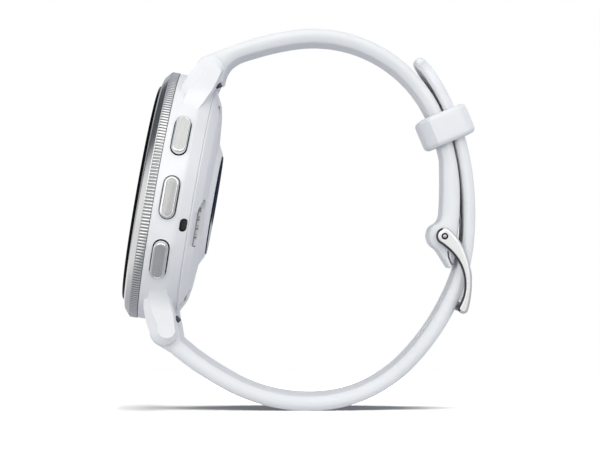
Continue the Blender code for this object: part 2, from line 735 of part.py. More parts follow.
def cut_strap_root(strap, end, sign):
    """Room for the spring bar and its lever, and for the round side of the case."""
    at = (sign * BAR_AT[0], -12.0, BAR_AT[1])
    cut(strap, rod(f"bar_hole_{end}", 1.0, at, 24, "Y", None, HEAD, sides=16))
    hub = empty(f"lever_pocket_axis_{end}", HEAD, (sign * BAR_AT[0], 0.0, BAR_AT[1]))
    pocket = box(f"lever_pocket_{end}", (-0.8, -8.8, -4.5), (0.8, -5.2, 0.0), None, hub)
    cut(strap, turn_lever(pocket, sign))
    gap = 0.3
    room = [
        (0.0, 1.0),
        (CASE_R + gap, 1.0),
        (CASE_R + gap, CASE_SHOULDER),
        (CASE_FOOT_R + gap, CASE_FOOT),
        (COVER_R + gap, -7.3),
        (0.0, -14.0),
    ]
    cut(strap, turned(f"case_room_{end}", room, None, HEAD, FINE))


def make_buckle():
    hub = empty("buckle_axis", None, (PIN_AT[0], 0.0, PIN_AT[1]))
    origin = (0.0, 0.0)
    turn = -math.degrees(ARM_LENGTH / ARM_RADIUS)
    arcs = ((ARM_LENGTH, turn),)
    left = side_points(origin, ARM_HEADING, arcs, lambda s: ramp(ARM_HALF_HEIGHT, s), 1.45)
    right = side_points(origin, ARM_HEADING, arcs, lambda s: -ramp(ARM_HALF_HEIGHT, s), 1.45)
    end_x, end_z, end_angle = path_point(origin, ARM_HEADING, arcs, ARM_LENGTH)
    end_turn = math.degrees(end_angle)
    cap = arc((end_x, end_z), ARM_HALF_HEIGHT[-1][1], end_turn + 60, end_turn - 60, 4)
    head = arc(origin, ARM_HALF_HEIGHT[0][1], ARM_HEADING - 110, ARM_HEADING - 250, 6)
    outline = left + cap + right[::-1] + head
    frame = slab("buckle_frame", outline, -ARM_OUTSIDE, ARM_OUTSIDE, "Y", "polished_steel", hub, 0.3)
    inside = box("buckle_opening", (-20, -ARM_INSIDE, -30), (20, ARM_INSIDE, 20), None, hub)
    cut(frame, inside)
    at = (end_x, -ARM_INSIDE - 0.7, end_z)
    join(frame, rod("crossbar", CROSSBAR_R, at, 2 * ARM_INSIDE + 1.4, "Y", None, hub, sides=16))
    rest = box("tongue_rest", (end_x + 0.1, -1.1, end_z - 2), (end_x + 3, 1.1, end_z + 2), None, hub)
    cut(frame, rest)
    cut(frame, rod("arm_bore", PIN_R + 0.06, (0, -13, 0), 26, "Y", None, hub, sides=16))
    rod("buckle_pin", PIN_R, (PIN_AT[0], -ARM_OUTSIDE, PIN_AT[1]), 2 * ARM_OUTSIDE, "Y", "steel")
    make_tongue()


def make_tongue():
    hub = empty("tongue_axis", None, (PIN_AT[0], 0.0, PIN_AT[1]))
    origin = (0.0, 0.0)
    half = TONGUE_HALF_HEIGHT
    left = side_points(origin, TONGUE_HEADING, TONGUE_ARCS, lambda s: half, 1.0, first=1.4)
    right = side_points(origin, TONGUE_HEADING, TONGUE_ARCS, lambda s: -half, 1.0, first=1.4)
    eye = arc(origin, 1.35, TONGUE_HEADING - 20, TONGUE_HEADING - 340, 14)
    width = TONGUE_HALF_WIDTH
    tongue = slab("buckle_tongue", left + right[::-1] + eye, -width, width, "Y", "steel", hub)
    cut(tongue, rod("tongue_bore", PIN_R + 0.12, (0, -3, 0), 6, "Y", None, hub, sides=16))


def make_keeper():
    hub = empty("keeper_axis", None, (KEEPER_CENTRE[0], 0.0, KEEPER_CENTRE[1]))
    frame = empty("keeper_frame", hub)
    frame.location = [
        (KEEPER_AT[0] - KEEPER_CENTRE[0]) * MM,
        0.0,
        (KEEPER_AT[1] - KEEPER_CENTRE[1]) * MM,
    ]
    frame.rotation_euler[1] = -math.radians(KEEPER_TILT)
    x, y, z = (side / 2 for side in KEEPER_SIZE)
    loop = box("keeper", (-x, -y, -z), (x, y, z), "silicone", frame, 0.9)
    u, v = (side / 2 for side in KEEPER_HOLE)
    cut(loop, box("keeper_opening", (-u, -v, -10), (u, v, 10), None, frame))


clear_scene()
PARTS = new_collection("gps_running_watch")
CUTTERS = new_collection("cutters")
HEAD = empty("case_frame", None, CASE_AT, (0.0, CASE_TURN, 0.0))
BUTTON_FRAMES = {
    name: empty(f"button_axis_{name}", HEAD, (0.0, 0.0, BUTTON_LEVEL), (0.0, 0.0, turn))
    for name, turn in BUTTON_TURNS.items()
}
MIC_FRAME = empty("mic_axis", HEAD, turn=(0.0, 0.0, MIC_TURN))
MOTOR_FRAME = empty("motor_axis", HEAD, MOTOR_AT)

make_mid_case()
make_front()
make_inside()
make_back()
for button_name, button_hub in BUTTON_FRAMES.items():
    make_button(button_name, button_hub)
for bar_end, bar_sign in (("top", 1), ("bottom", -1)):
    make_spring_bar(bar_end, bar_sign)
make_strap_upper()
make_strap_lower()
make_buckle()
make_keeper()
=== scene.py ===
"""Looks of a closed sports watch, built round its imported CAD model.

Every visible shell is rebuilt here as a fine mesh in the place its CAD node holds; the parts inside the
case keep their CAD shape and get a material. Pieces are drawn in millimetres, in the frame they are easiest
to draw in (the case, a button, the band), and are then moved into the row frame, in metres.
"""

import json
import math

import bmesh
import bpy
from mathutils import Matrix, Vector


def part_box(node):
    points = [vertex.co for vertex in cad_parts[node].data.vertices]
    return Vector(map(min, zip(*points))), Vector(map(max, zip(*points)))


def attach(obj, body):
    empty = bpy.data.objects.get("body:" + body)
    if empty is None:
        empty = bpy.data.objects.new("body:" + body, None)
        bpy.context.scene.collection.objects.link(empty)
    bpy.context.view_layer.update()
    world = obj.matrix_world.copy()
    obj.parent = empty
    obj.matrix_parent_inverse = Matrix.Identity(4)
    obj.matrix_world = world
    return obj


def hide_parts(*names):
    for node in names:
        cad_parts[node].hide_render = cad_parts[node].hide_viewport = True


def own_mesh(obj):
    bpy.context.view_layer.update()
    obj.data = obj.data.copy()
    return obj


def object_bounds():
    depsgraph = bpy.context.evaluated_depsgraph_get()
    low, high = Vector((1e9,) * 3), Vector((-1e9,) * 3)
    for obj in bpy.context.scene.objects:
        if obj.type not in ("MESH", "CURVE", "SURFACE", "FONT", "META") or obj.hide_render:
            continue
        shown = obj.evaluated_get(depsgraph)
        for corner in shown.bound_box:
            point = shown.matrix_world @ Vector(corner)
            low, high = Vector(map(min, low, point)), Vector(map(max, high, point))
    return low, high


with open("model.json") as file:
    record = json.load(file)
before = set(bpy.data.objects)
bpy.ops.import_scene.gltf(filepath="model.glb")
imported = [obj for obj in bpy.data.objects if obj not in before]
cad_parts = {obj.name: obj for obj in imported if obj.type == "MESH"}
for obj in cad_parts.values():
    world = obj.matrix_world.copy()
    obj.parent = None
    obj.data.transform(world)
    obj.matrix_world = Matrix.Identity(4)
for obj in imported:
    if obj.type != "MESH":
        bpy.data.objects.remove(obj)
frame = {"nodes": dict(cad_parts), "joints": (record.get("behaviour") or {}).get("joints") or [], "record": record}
cad_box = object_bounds()

MM = 0.001
RECORD = frame["record"]
MOUNTS = {mount["name"]: mount for mount in RECORD["mounts"]}
JOINTS = {joint["name"]: joint for joint in frame["joints"]}
SLOT_OF = {row["node"]: row["material_slot"] for row in RECORD["subparts"]}
ROW_Y = Vector((0.0, 1.0, 0.0))

# Sides of turned pieces
ROUND = 192
SMALL_ROUND = 48

# Watch head, in its own frame: +Z out of the display, +X to 12 o'clock
GLASS_FRONT = 3.38
GLASS_BACK = 2.1
GLASS_R = 19.75
BEZEL_R = 22.5
FLUTES = 233
FLUTE_DEPTH = 0.16
CASE_R = 22.4
CASE_WALL_R = 19.4
CASE_SHOULDER = -4.6
CASE_FOOT_R = 20.75
CASE_FOOT = -6.7
CASE_ROOM = 0.3
LUG_HALF_WIDTH = 13.6
LUG_FILLET = 5.0
LUG_TIP = (23.6, -5.55)
LUG_TIP_R = 2.45
STRAP_SLOT = 11.2
WINDOW_R = 9.0
WINDOW_FACE = -10.2
WINDOW_BACK = -9.45
CHARGE_AT = (-3.6, -15.0)
CHARGE_SIZE = (8.2, 3.2)
RECESS_AT = (-3.6, -16.2)
RECESS_SIZE = (8.6, 5.0)
RECESS_FLOOR = -7.88
SCREWS = ("back_screw_1", "back_screw_2", "back_screw_3", "back_screw_4")
SCREW_PAD_R = 1.9
SCREW_HEAD_R = 1.35
SCREW_HOLE_R = 0.8
SPEAKER_PORT = ((-1.5, 17.0, -4.45), (1.5, 25.0, -3.55))

# Buttons
BUTTON_LEVEL = -2.7
BUTTON_LENGTH = 7.5
BUTTON_WIDTH = 2.7
BUTTON_FACE = 23.3
BUTTON_BACK = 21.4
BUTTON_GAP = 0.17
BUTTON_EDGE = 0.36
BUTTON_STEM_R = 0.75
BUTTON_BORE_R = 0.95
BUTTON_SEAT_FLOOR = 20.75
BUTTONS = ("upper", "middle", "lower")
MIC_PORT_AT = (0.0, -5.85)
MIC_PORT_SIZE = (2.4, 1.3)
MIC_PORT_FLOOR = 20.6

# Quick-release bars, at (+-X, Z) in the case's frame
BAR_AT = (23.7, -5.6)
BAR_BORE_R = 0.6
BAR_SLEEVE_R = 1.0
LEVER_TILT = 55.0
LEVER_PIN_R = 0.44
LEVER_PIN_SPAN = (-12.2, -5.2)
LEVER_AT = -7.7
LEVER_LENGTH = 3.45
LEVER_HALF_SIZE = (0.6, 0.75)
SPRING_WIRE = 0.08
SPRING_TURNS = 9
SPRING_STEPS = 16

# Band: each half starts at a point with a heading and follows arcs of (length, turn in degrees)
UPPER_ARCS = ((12.0, -14.2), (10.6, -25.1), (11.8, -28.1), (8.5, -20.8), (15.1, -23.7), (3.4, -3.3))
UPPER_PATH = ((-13.92, 63.65), 22.1, UPPER_ARCS)
UPPER_THICKNESS = ((0.0, 2.6), (62.0, 2.3))
LOWER_ARCS = ((11.8, 12.3), (17.4, 33.5), (16.3, 39.3), (15.8, 22.1))
LOWER_ARCS += ((11.4, 19.9), (10.7, 11.6), (6.3, 7.8), (15.4, 22.0))
LOWER_PATH = ((-23.56, 11.39), -40.3, LOWER_ARCS)
LOWER_THICKNESS = ((0.0, 2.7), (59.0, 2.6), (71.5, 2.0), (106.0, 2.0))
BAND_HALF_WIDTH = ((0.0, 11.0), (6.0, 11.0), (40.0, 10.0), (106.0, 9.9))
BAND_STEP = 0.4
ROOT_R = 2.75
UPPER_ROOT = (44, 5.0)
LOWER_ROOT = (40, 3.0)
BOSS_R = 2.75
BOSS_FROM = 51.0
BOSS_NECK = ((24.2, 41.0), (24.15, 38.0), (24.05, 35.6), (23.85, 34.3), (23.3, 33.5))
UPPER_CROOK = ((-15.75, 58.62), (-15.2, 58.72), (-15.0, 60.1))
UPPER_CROOK += ((-14.05, 61.85), (-12.4, 62.95), (-10.9, 63.45))
LOWER_CROOK = ((-23.25, 15.6), (-22.95, 14.2), (-22.68, 12.5))
LOWER_LEAN = ((0.0, 0.42), (60.0, 0.42), (75.0, 0.62), (106.0, 0.62))
TAIL_TRIM = 0.35
TIP_LENGTH = 6.5
TIP_ROUND = 1.0
UPPER_CROWN = ((0.0, 0.0), (40.0, 0.0), (48.0, 0.3), (75.0, 0.3))
TAIL_CROWN = ((0.0, 0.0), (72.0, 0.0), (76.0, 0.4), (88.0, 0.4), (96.0, 0.0))
FLAP_INSIDE = ((23.25, 28.7), (23.9, 27.75), (24.7, 26.45), (25.35, 25.4))
FLAP_OUTSIDE = ((26.3, 27.6), (25.75, 25.6))
FLAP_SLIT = ((25.0, 28.5), (25.1, 27.5), (25.45, 26.6), (25.8, 26.0))
FLAP_SLIT_SPAN = (8.0, 12.0)
TONGUE_SLOT_R = 1.75
TONGUE_SLOT_HALF_WIDTH = 1.15
HOLE_LENGTH = 4.9
HOLE_WIDTH = 2.0
HOLE_PITCH = 7.2
HOLE_IN_USE = 67.6
HOLES = range(-2, 5)

# Buckle and keeper
ARM_HEADING = -38.0
ARM_RADIUS = 10.87
ARM_LENGTH = 14.3
ARM_PATH = ((0.0, 0.0), ARM_HEADING, ((ARM_LENGTH, -math.degrees(ARM_LENGTH / ARM_RADIUS)),))
ARM_HALF_HEIGHT = ((0.0, 1.55), (3.0, 1.2), (6.0, 0.82), (9.0, 0.66), (12.0, 0.66), (14.3, 0.95))
ARM_INSIDE = 10.4
ARM_OUTSIDE = 11.8
ARM_EDGE = 0.54
CROSSBAR_R = 0.85
CROSSBAR_OVERLAP = 0.7
PIN_R = 0.5
TONGUE_PATH = ((0.0, 0.0), -40.0, ((4.4, -8.0), (2.8, -22.0), (3.0, -26.0), (4.2, -10.0)))
TONGUE_HALF_HEIGHT = 0.4
TONGUE_HALF_WIDTH = 0.65
TONGUE_EYE_R = 1.35
KEEPER_TILT = 23.0
KEEPER_SIZE = (9.1, 24.0, 5.6)
KEEPER_HOLE = (5.55, 20.7)

# Studio, in metres except for the camera
CAMERA_AT = (-1.4, -625.5, 33.2)
CAMERA_LENS = 206.8
FLOOR_REACH = 4.0
LAMP_AT = (-0.002, 0.0, 0.18)
LAMP_SIZE = (0.6, 0.05)
LAMP_WATTS = 5.0


# --- Outlines ---------------------------------------------------------------------------


def arc(centre, radius, first, last, count):
    """Points on a circle from one angle to another, both in degrees."""
    angles = [math.radians(first + (last - first) * i / count) for i in range(count + 1)]
    return [(centre[0] + radius * math.cos(a), centre[1] + radius * math.sin(a)) for a in angles]


def disc(centre, radius, sides):
    return arc(centre, radius, 0, 360 * (1 - 1 / sides), sides - 1)


def pill(centre, length, width, count=16):
    """A stadium outline, long along the first axis."""
    u, v = centre
    reach = (length - width) / 2
    right = arc((u + reach, v), width / 2, -90, 90, count)
    left = arc((u - reach, v), width / 2, 90, 270, count)
    return right + left


def rounded_corners(corners, closed=False, count=5):
    """A chain of (u, v, radius) corners as points, each corner rounded to its radius."""
    points = []
    last = len(corners) - 1
    for i, (u, v, radius) in enumerate(corners):
        here = Vector((u, v))
        if radius == 0 or (not closed and i in (0, last)):
            points.append((u, v))
            continue
        before = (Vector(corners[i - 1][:2]) - here).normalized()
        after = (Vector(corners[(i + 1) % len(corners)][:2]) - here).normalized()
        half = before.angle(after) / 2
        middle = here + (before + after).normalized() * (radius / math.sin(half))
        start = here + before * (radius / math.tan(half)) - middle
        end = here + after * (radius / math.tan(half)) - middle
        sweep = start.angle_signed(end)
        for k in range(count + 1):
            turned = start.copy()
            turned.rotate(Matrix.Rotation(-sweep * k / count, 2))
            points.append(tuple(middle + turned))
    return points


def rounded_box_outline(half_u, half_v, radius, count=8):
    points = []
    for u, v, first in ((1, -1, -90), (1, 1, 0), (-1, 1, 90), (-1, -1, 180)):
        centre = (u * (half_u - radius), v * (half_v - radius))
        points += arc(centre, radius, first, first + 90, count)
    return points


def inset_outline(outline, distance):
    """The closed outline with every point moved inwards along its own normal."""
    moved = []
    count = len(outline)
    area = sum(
        outline[i - 1][0] * outline[i][1] - outline[i][0] * outline[i - 1][1] for i in range(count)
    )
    inward = math.copysign(1.0, area)
    for i, (u, v) in enumerate(outline):
        du = outline[(i + 1) % count][0] - outline[i - 1][0]
        dv = outline[(i + 1) % count][1] - outline[i - 1][1]
        size = math.hypot(du, dv)
        moved.append((u - inward * distance * dv / size, v + inward * distance * du / size))
    return moved


def ramp(table, s):
    """The value at s of a table of (s, value), straight between its rows."""
    for (s0, v0), (s1, v1) in zip(table, table[1:]):
        if s <= s1:
            return v0 + (v1 - v0) * max(0.0, s - s0) / (s1 - s0)
    return table[-1][1]


def path_point(start, heading, arcs, s):
    """(x, z, heading in radians) at distance s along a chain of arcs."""
    x, z = start
    angle = math.radians(heading)
    for index, (length, turn) in enumerate(arcs):
        part = min(s, length) if index < len(arcs) - 1 else s
        bend = math.radians(turn) * part / length
        chord = part if not bend else part * math.sin(bend / 2) / (bend / 2)
        x += chord * math.cos(angle + bend / 2)
        z += chord * math.sin(angle + bend / 2)
        angle += bend
        s -= part
        if s <= 0:
            break
    return x, z, angle


def path_length(arcs):
    return sum(length for length, _ in arcs)


def beside(start, heading, arcs, s, offset):
    """The point offset to the left of the path, at distance s along it."""
    x, z, angle = path_point(start, heading, arcs, s)
    return x - offset * math.sin(angle), z + offset * math.cos(angle)


def steps(first, last, step):
    count = max(1, round(abs(last - first) / step))
    return [first + (last - first) * i / count for i in range(count + 1)]


def blend(a, b, t):
    """The point at share t of the way from a to b."""
    return a[0] + (b[0] - a[0]) * t, a[1] + (b[1] - a[1]) * t


def resample(chain, count):
    """The open chain as count points, evenly spaced along it."""
    lengths = [0.0]
    for a, b in zip(chain, chain[1:]):
        lengths.append(lengths[-1] + math.dist(a, b))
    points = []
    index = 0
    for i in range(count):
        target = lengths[-1] * i / (count - 1)
        while index < len(chain) - 2 and lengths[index + 1] < target:
            index += 1
        span = lengths[index + 1] - lengths[index]
        t = 0.0 if span == 0 else (target - lengths[index]) / span
        points.append(blend(chain[index], chain[index + 1], t))
    return points


def resample_closed(outline, count):
    """The closed outline as count points, the first where it crosses its left side."""
    left = min(range(len(outline)), key=lambda i: (outline[i][0], abs(outline[i][1])))
    chain = outline[left:] + outline[:left]
    return resample(chain + [chain[0]], count + 1)[:-1]


# --- Meshes, in millimetres --------------------------------------------------------------


def new_object(name, data):
    made = bpy.data.objects.new(name, data)
    bpy.context.scene.collection.objects.link(made)
    return made


def from_bmesh(name, bm):
    bmesh.ops.remove_doubles(bm, verts=bm.verts, dist=0.0005)
    bmesh.ops.recalc_face_normals(bm, faces=bm.faces)
    mesh = bpy.data.meshes.new(name)
    bm.to_mesh(mesh)
    bm.free()
    return new_object(name, mesh)


def skin(name, rings, closed_path=False):
    """A surface through rings of 3-D points, each ring closed on itself."""
    bm = bmesh.new()
    rows = [[bm.verts.new(point) for point in ring] for ring in rings]
    pairs = list(zip(rows, rows[1:]))
    if closed_path:
        pairs.append((rows[-1], rows[0]))
    for low, high in pairs:
        for i in range(len(low)):
            bm.faces.new((low[i - 1], low[i], high[i], high[i - 1]))
    if not closed_path:
        bm.faces.new(rows[0])
        bm.faces.new(rows[-1])
    return from_bmesh(name, bm)


def lathe(name, profile, ring=False):
    """A profile of (radius, height) turned about Z. An open profile is closed by flat ends."""
    turns = [math.tau * i / ROUND for i in range(ROUND)]
    rings = [[(r * math.cos(t), r * math.sin(t), h) for t in turns] for r, h in profile]
    return skin(name, rings, closed_path=ring)


def stack(name, outline, levels, along="Z"):
    """Copies of an outline, inset and raised as levels (inset, height) say, joined into a solid."""
    a, b, c = {"X": (2, 0, 1), "Y": (0, 2, 1), "Z": (0, 1, 2)}[along]
    layers = [[(*point, h) for point in inset_outline(outline, inset)] for inset, h in levels]
    return skin(name, [[(p[a], p[b], p[c]) for p in layer] for layer in layers])


def quarter(radius, count):
    """Steps round a quarter circle, from (0, radius) to (radius, 0)."""
    angles = [math.radians(90 * i / count) for i in range(count + 1)]
    return [(radius * (1 - math.cos(a)), radius * (1 - math.sin(a))) for a in angles]


def rounded_levels(low, high, low_edge, high_edge, count=5):
    """Levels for stack, with a rounded edge of the given radius at each end."""
    below = [(b, low + a) for a, b in quarter(low_edge, count)]
    return below + [(a, high - b) for a, b in quarter(high_edge, count)]


def slab(name, outline, low, high, along="Z"):
    return stack(name, outline, [(0.0, low), (0.0, high)], along)


def block(name, low, high):
    outline = [(low[0], low[1]), (high[0], low[1]), (high[0], high[1]), (low[0], high[1])]
    return slab(name, outline, low[2], high[2])


def rod(name, radius, start, length, along, sides=SMALL_ROUND):
    """A cylinder from a start point along Y or Z, used as a cutter or inside a join."""
    x, y, z = start
    centre, low = ((x, y), z) if along == "Z" else ((x, z), y)
    return slab(name, disc(centre, radius, sides), low, low + length, along)


def moved(target, matrix):
    target.data.transform(matrix)
    return target


def tilt(degrees, axis):
    return Matrix.Rotation(math.radians(degrees), 4, axis)


def apply_modifiers(target):
    graph = bpy.context.evaluated_depsgraph_get()
    mesh = bpy.data.meshes.new_from_object(target.evaluated_get(graph))
    target.modifiers.clear()
    target.data = mesh
    return target


def combine(target, other, operation):
    made = target.modifiers.new(operation, "BOOLEAN")
    made.operation = operation
    made.object = other
    made.solver = "EXACT"
    apply_modifiers(target)
    bpy.data.objects.remove(other, do_unlink=True)
    return target


def cut(target, cutter):
    return combine(target, cutter, "DIFFERENCE")


def join(target, other):
    return combine(target, other, "UNION")


def bevel(target, width, segments, angle):
    made = target.modifiers.new("Edges", "BEVEL")
    made.width = width
    made.segments = segments
    made.limit_method = "ANGLE"
    made.angle_limit = math.radians(angle)
    made.use_clamp_overlap = True
    return apply_modifiers(target)


# --- Frames ------------------------------------------------------------------------------


def axes(origin, x_axis, z_axis):
    """A frame from its origin, its X and its Z, all in the row frame and in millimetres."""
    y_axis = z_axis.cross(x_axis)
    made = Matrix.Identity(4)
    for row in range(3):
        made[row][0], made[row][1], made[row][2] = x_axis[row], y_axis[row], z_axis[row]
        made[row][3] = origin[row]
    return made


def case_axes():
    out = Vector(MOUNTS["display_face"]["axis"]).normalized()
    up = ROW_Y.cross(out)
    front = Vector(MOUNTS["display_face"]["pos_m"]) / MM
    return axes(front - out * GLASS_FRONT, up, out)


CASE = case_axes()


def button_axes(name):
    """X out of the case along the button's travel, Z out of the display."""
    out = -Vector(JOINTS[f"press_{name}_button"]["axis"]).normalized()
    up = (CASE.to_3x3() @ Vector((0, 0, 1))).normalized()
    return axes(CASE @ Vector((0, 0, BUTTON_LEVEL)), out, up)


def centre_of(node):
    low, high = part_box(node)
    return (low + high) / 2 / MM


def mic_axes():
    middle = CASE.inverted() @ centre_of("mic_mesh")
    return CASE @ Matrix.Rotation(math.atan2(middle.y, middle.x), 4, "Z")


def bar_point(end):
    middle = centre_of(f"bar_tube_{end}")
    return middle.x, middle.z


def screw_spots():
    """Where the back screws sit, in the case's frame."""
    return [(CASE.inverted() @ centre_of(name)).xy for name in SCREWS]


PIN = Vector(JOINTS["swing_buckle"]["pos_m"]) / MM
BUTTON_AXES = {name: button_axes(name) for name in BUTTONS}
MIC = mic_axes()


# --- Materials ---------------------------------------------------------------------------


class Nodes:
    """A node tree, with short calls that add a node and set or link its inputs."""

    def __init__(self, tree):
        self.tree = tree

    def feed(self, socket, value):
        if isinstance(value, bpy.types.NodeSocket):
            self.tree.links.new(value, socket)
        else:
            socket.default_value = value

    def node(self, kind, out=0, settings=(), **inputs):
        made = self.tree.nodes.new("ShaderNode" + kind)
        for name, value in dict(settings).items():
            setattr(made, name, value)
        for name, value in inputs.items():
            key = int(name[1:]) if name[0] == "i" and name[1:].isdigit() else name.replace("_", " ")
            self.feed(made.inputs[key], value)
        return made.outputs[out]

    def math(self, operation, a, b=0.0, c=0.0):
        return self.node("Math", settings={"operation": operation}, i0=a, i1=b, i2=c)

    def length(self, vector):
        return self.node("VectorMath", out="Value", settings={"operation": "LENGTH"}, i0=vector)

    def split(self, vector):
        return self.node("SeparateXYZ", Vector=vector).node.outputs

    def between(self, value, low, high, to_low=0.0, to_high=1.0):
        """A smooth step: to_low where value is under low, to_high where it is over high."""
        smooth = {"interpolation_type": "SMOOTHSTEP"}
        span = {"From_Min": low, "From_Max": high, "To_Min": to_low, "To_Max": to_high}
        return self.node("MapRange", settings=smooth, Value=value, **span)

    def mix(self, share, a, b):
        a, b = ((*c, 1.0) if isinstance(c, tuple) else c for c in (a, b))
        return self.node("Mix", out=2, settings={"data_type": "RGBA"}, Factor=share, i6=a, i7=b)

    def finish(self, kind, shader):
        """Links the last shader to the tree's output."""
        out = self.tree.nodes.new("ShaderNode" + kind)
        self.tree.links.new(shader, out.inputs["Surface"])


class Surface(Nodes):
    """A Principled material with short calls for the nodes that pattern it.

    Coordinates are millimetres: "drawn" holds each point as it was drawn, and CAD nodes use their place.
    """

    def __init__(self, name, coords_of):
        self.material = bpy.data.materials.new(name)
        self.material.use_nodes = True
        super().__init__(self.material.node_tree)
        self.shader = self.tree.nodes["Principled BSDF"]
        self.coords = coords_of(self)

    def base(self, colour, roughness, metallic=0.0):
        self.material.diffuse_color = (*colour, 1.0)
        self.set(Base_Color=(*colour, 1.0), Roughness=roughness, Metallic=metallic)

    def set(self, **inputs):
        for name, value in inputs.items():
            self.feed(self.shader.inputs[name.replace("_", " ")], value)

    def drawn(self):
        return self.node("Attribute", out="Vector", settings={"attribute_name": "drawn"})

    def place(self):
        where = self.node("TexCoord", out="Object")
        return self.stretch(where, (1 / MM,) * 3)

    def stretch(self, coords, scale):
        return self.node("Mapping", Vector=coords, Scale=scale)

    def noise(self, coords, scale, detail=3.0, rough=0.5):
        values = {"Scale": scale, "Detail": detail, "Roughness": rough}
        return self.node("TexNoise", out="Fac", Vector=coords, **values)

    def bump(self, height, distance, strength=1.0):
        """Relief of the given depth in millimetres."""
        self.set(Normal=self.node("Bump", Height=height, Distance=distance * MM, Strength=strength))


def polymer_finish(look):
    """Satin moulded polymer: a fine spark-eroded grain and faint clouding."""
    tone = (0.835, 0.845, 0.86)
    look.base(tone, 0.42)
    cloud = look.noise(look.coords, 0.18, 2.0)
    pale = tuple(min(1.0, c * 1.03) for c in tone)
    look.set(Base_Color=look.mix(look.between(cloud, 0.35, 0.65), tone, pale))
    grain = look.noise(look.coords, 9.0, 2.0, 0.6)
    look.set(Roughness=look.between(look.noise(look.coords, 1.4), 0.3, 0.7, 0.37, 0.46))
    look.bump(grain, 0.006, 0.5)
    look.set(Specular_IOR_Level=0.45)


def silicone_finish(look):
    """Matt silicone: soft light inside it, a powdery sheen and a fine moulded texture."""
    tone = (0.79, 0.805, 0.825)
    look.base(tone, 0.58)
    cloud = look.noise(look.coords, 0.12, 3.0)
    look.set(Base_Color=look.mix(look.between(cloud, 0.35, 0.65), tone, (0.81, 0.825, 0.84)))
    fine = look.noise(look.coords, 6.0, 2.0, 0.6)
    broad = look.noise(look.coords, 2.2, 2.0)
    look.set(Roughness=look.between(broad, 0.3, 0.7, 0.52, 0.64))
    look.bump(look.math("MULTIPLY_ADD", broad, 0.4, fine), 0.008, 0.3)
    look.set(Subsurface_Weight=0.12, Subsurface_Radius=(0.6, 0.65, 0.8), Subsurface_Scale=MM)
    look.set(Sheen_Weight=0.15, Sheen_Roughness=0.5, Specular_IOR_Level=0.4)


def metal_finish(look, tone, roughness, scratch_scale, depth=0.002, spread=0.08):
    """Metal with its grain stretched along the axis that scratch_scale makes smallest."""
    look.base(tone, roughness, 1.0)
    grain = look.noise(look.stretch(look.coords, scratch_scale), 1.0, 4.0, 0.65)
    dark = tuple(c * 0.86 for c in tone)
    look.set(Base_Color=look.mix(look.between(grain, 0.3, 0.7), dark, tone))
    low, high = max(0.03, roughness - spread), roughness + spread
    look.set(Roughness=look.between(grain, 0.3, 0.7, low, high))
    look.bump(grain, depth, 0.6)


def glass_finish(look, details=None):
    """Black-backed glass: deep black, with faint smears in its polish."""
    look.base((0.006, 0.006, 0.007), 0.06)
    smear = look.noise(look.stretch(look.coords, (0.16, 0.5, 0.3)), 1.0, 4.0, 0.6)
    look.set(Roughness=look.between(smear, 0.45, 0.75, 0.04, 0.13))
    look.set(Specular_IOR_Level=0.25)
    if details:
        details(look)


def radius_of(look):
    flat = look.node("VectorMath", settings={"operation": "MULTIPLY"}, i0=look.coords, i1=(1.0, 1.0, 0.0))
    return look.length(flat)


def ring_mask(look, radius, middle, half, soft=0.06):
    away = look.math("ABSOLUTE", look.math("SUBTRACT", radius, middle))
    return look.between(away, half - soft, half + soft, 1.0, 0.0)


def display_details(look):
    """The display's lit area inside a printed border, and a fine printed minute ring."""
    radius = radius_of(look)
    look.set(Specular_IOR_Level=look.between(radius, 17.7, 18.1, 0.5, 0.02))
    active = look.between(radius, 17.55, 17.65, 1.0, 0.0)
    border = look.mix(active, (0.004, 0.004, 0.0045), (0.011, 0.012, 0.014))
    x, y, _ = look.split(look.coords)
    angle = look.math("ARCTAN2", y, x)
    wave = look.math("COSINE", look.math("MULTIPLY", angle, 60.0))
    ticks = look.math("MULTIPLY", look.between(wave, 0.955, 0.975), ring_mask(look, radius, 18.3, 0.28))
    look.set(Base_Color=look.mix(ticks, border, (0.16, 0.17, 0.18)))


def sensor_details(look):
    """The sensor's round windows and its outer ring, as they show through dark glass."""
    radius = radius_of(look)
    x, y, _ = look.split(look.coords)
    base = look.mix(ring_mask(look, radius, 8.2, 0.12), (0.006, 0.006, 0.007), (0.05, 0.05, 0.055))
    green, red = (0.015, 0.05, 0.03), (0.06, 0.012, 0.012)
    around = ((4.4, 0.0, green), (-4.4, 0.0, green), (0.0, 4.4, red), (0.0, -4.4, red))
    lenses = [(0.0, 0.0, 1.9, (0.03, 0.032, 0.04))] + [(u, v, 1.35, tone) for u, v, tone in around]
    for u, v, size, tone in lenses:
        du = look.math("SUBTRACT", x, u)
        dv = look.math("SUBTRACT", y, v)
        squares = look.math("MULTIPLY_ADD", du, du, look.math("MULTIPLY", dv, dv))
        away = look.math("SQRT", squares)
        base = look.mix(look.between(away, size - 0.05, size + 0.05, 1.0, 0.0), base, tone)
        base = look.mix(ring_mask(look, away, size + 0.12, 0.05, 0.03), base, (0.11, 0.11, 0.12))
    look.set(Base_Color=base, Specular_IOR_Level=look.between(radius, 6.5, 8.6, 0.35, 0.02))


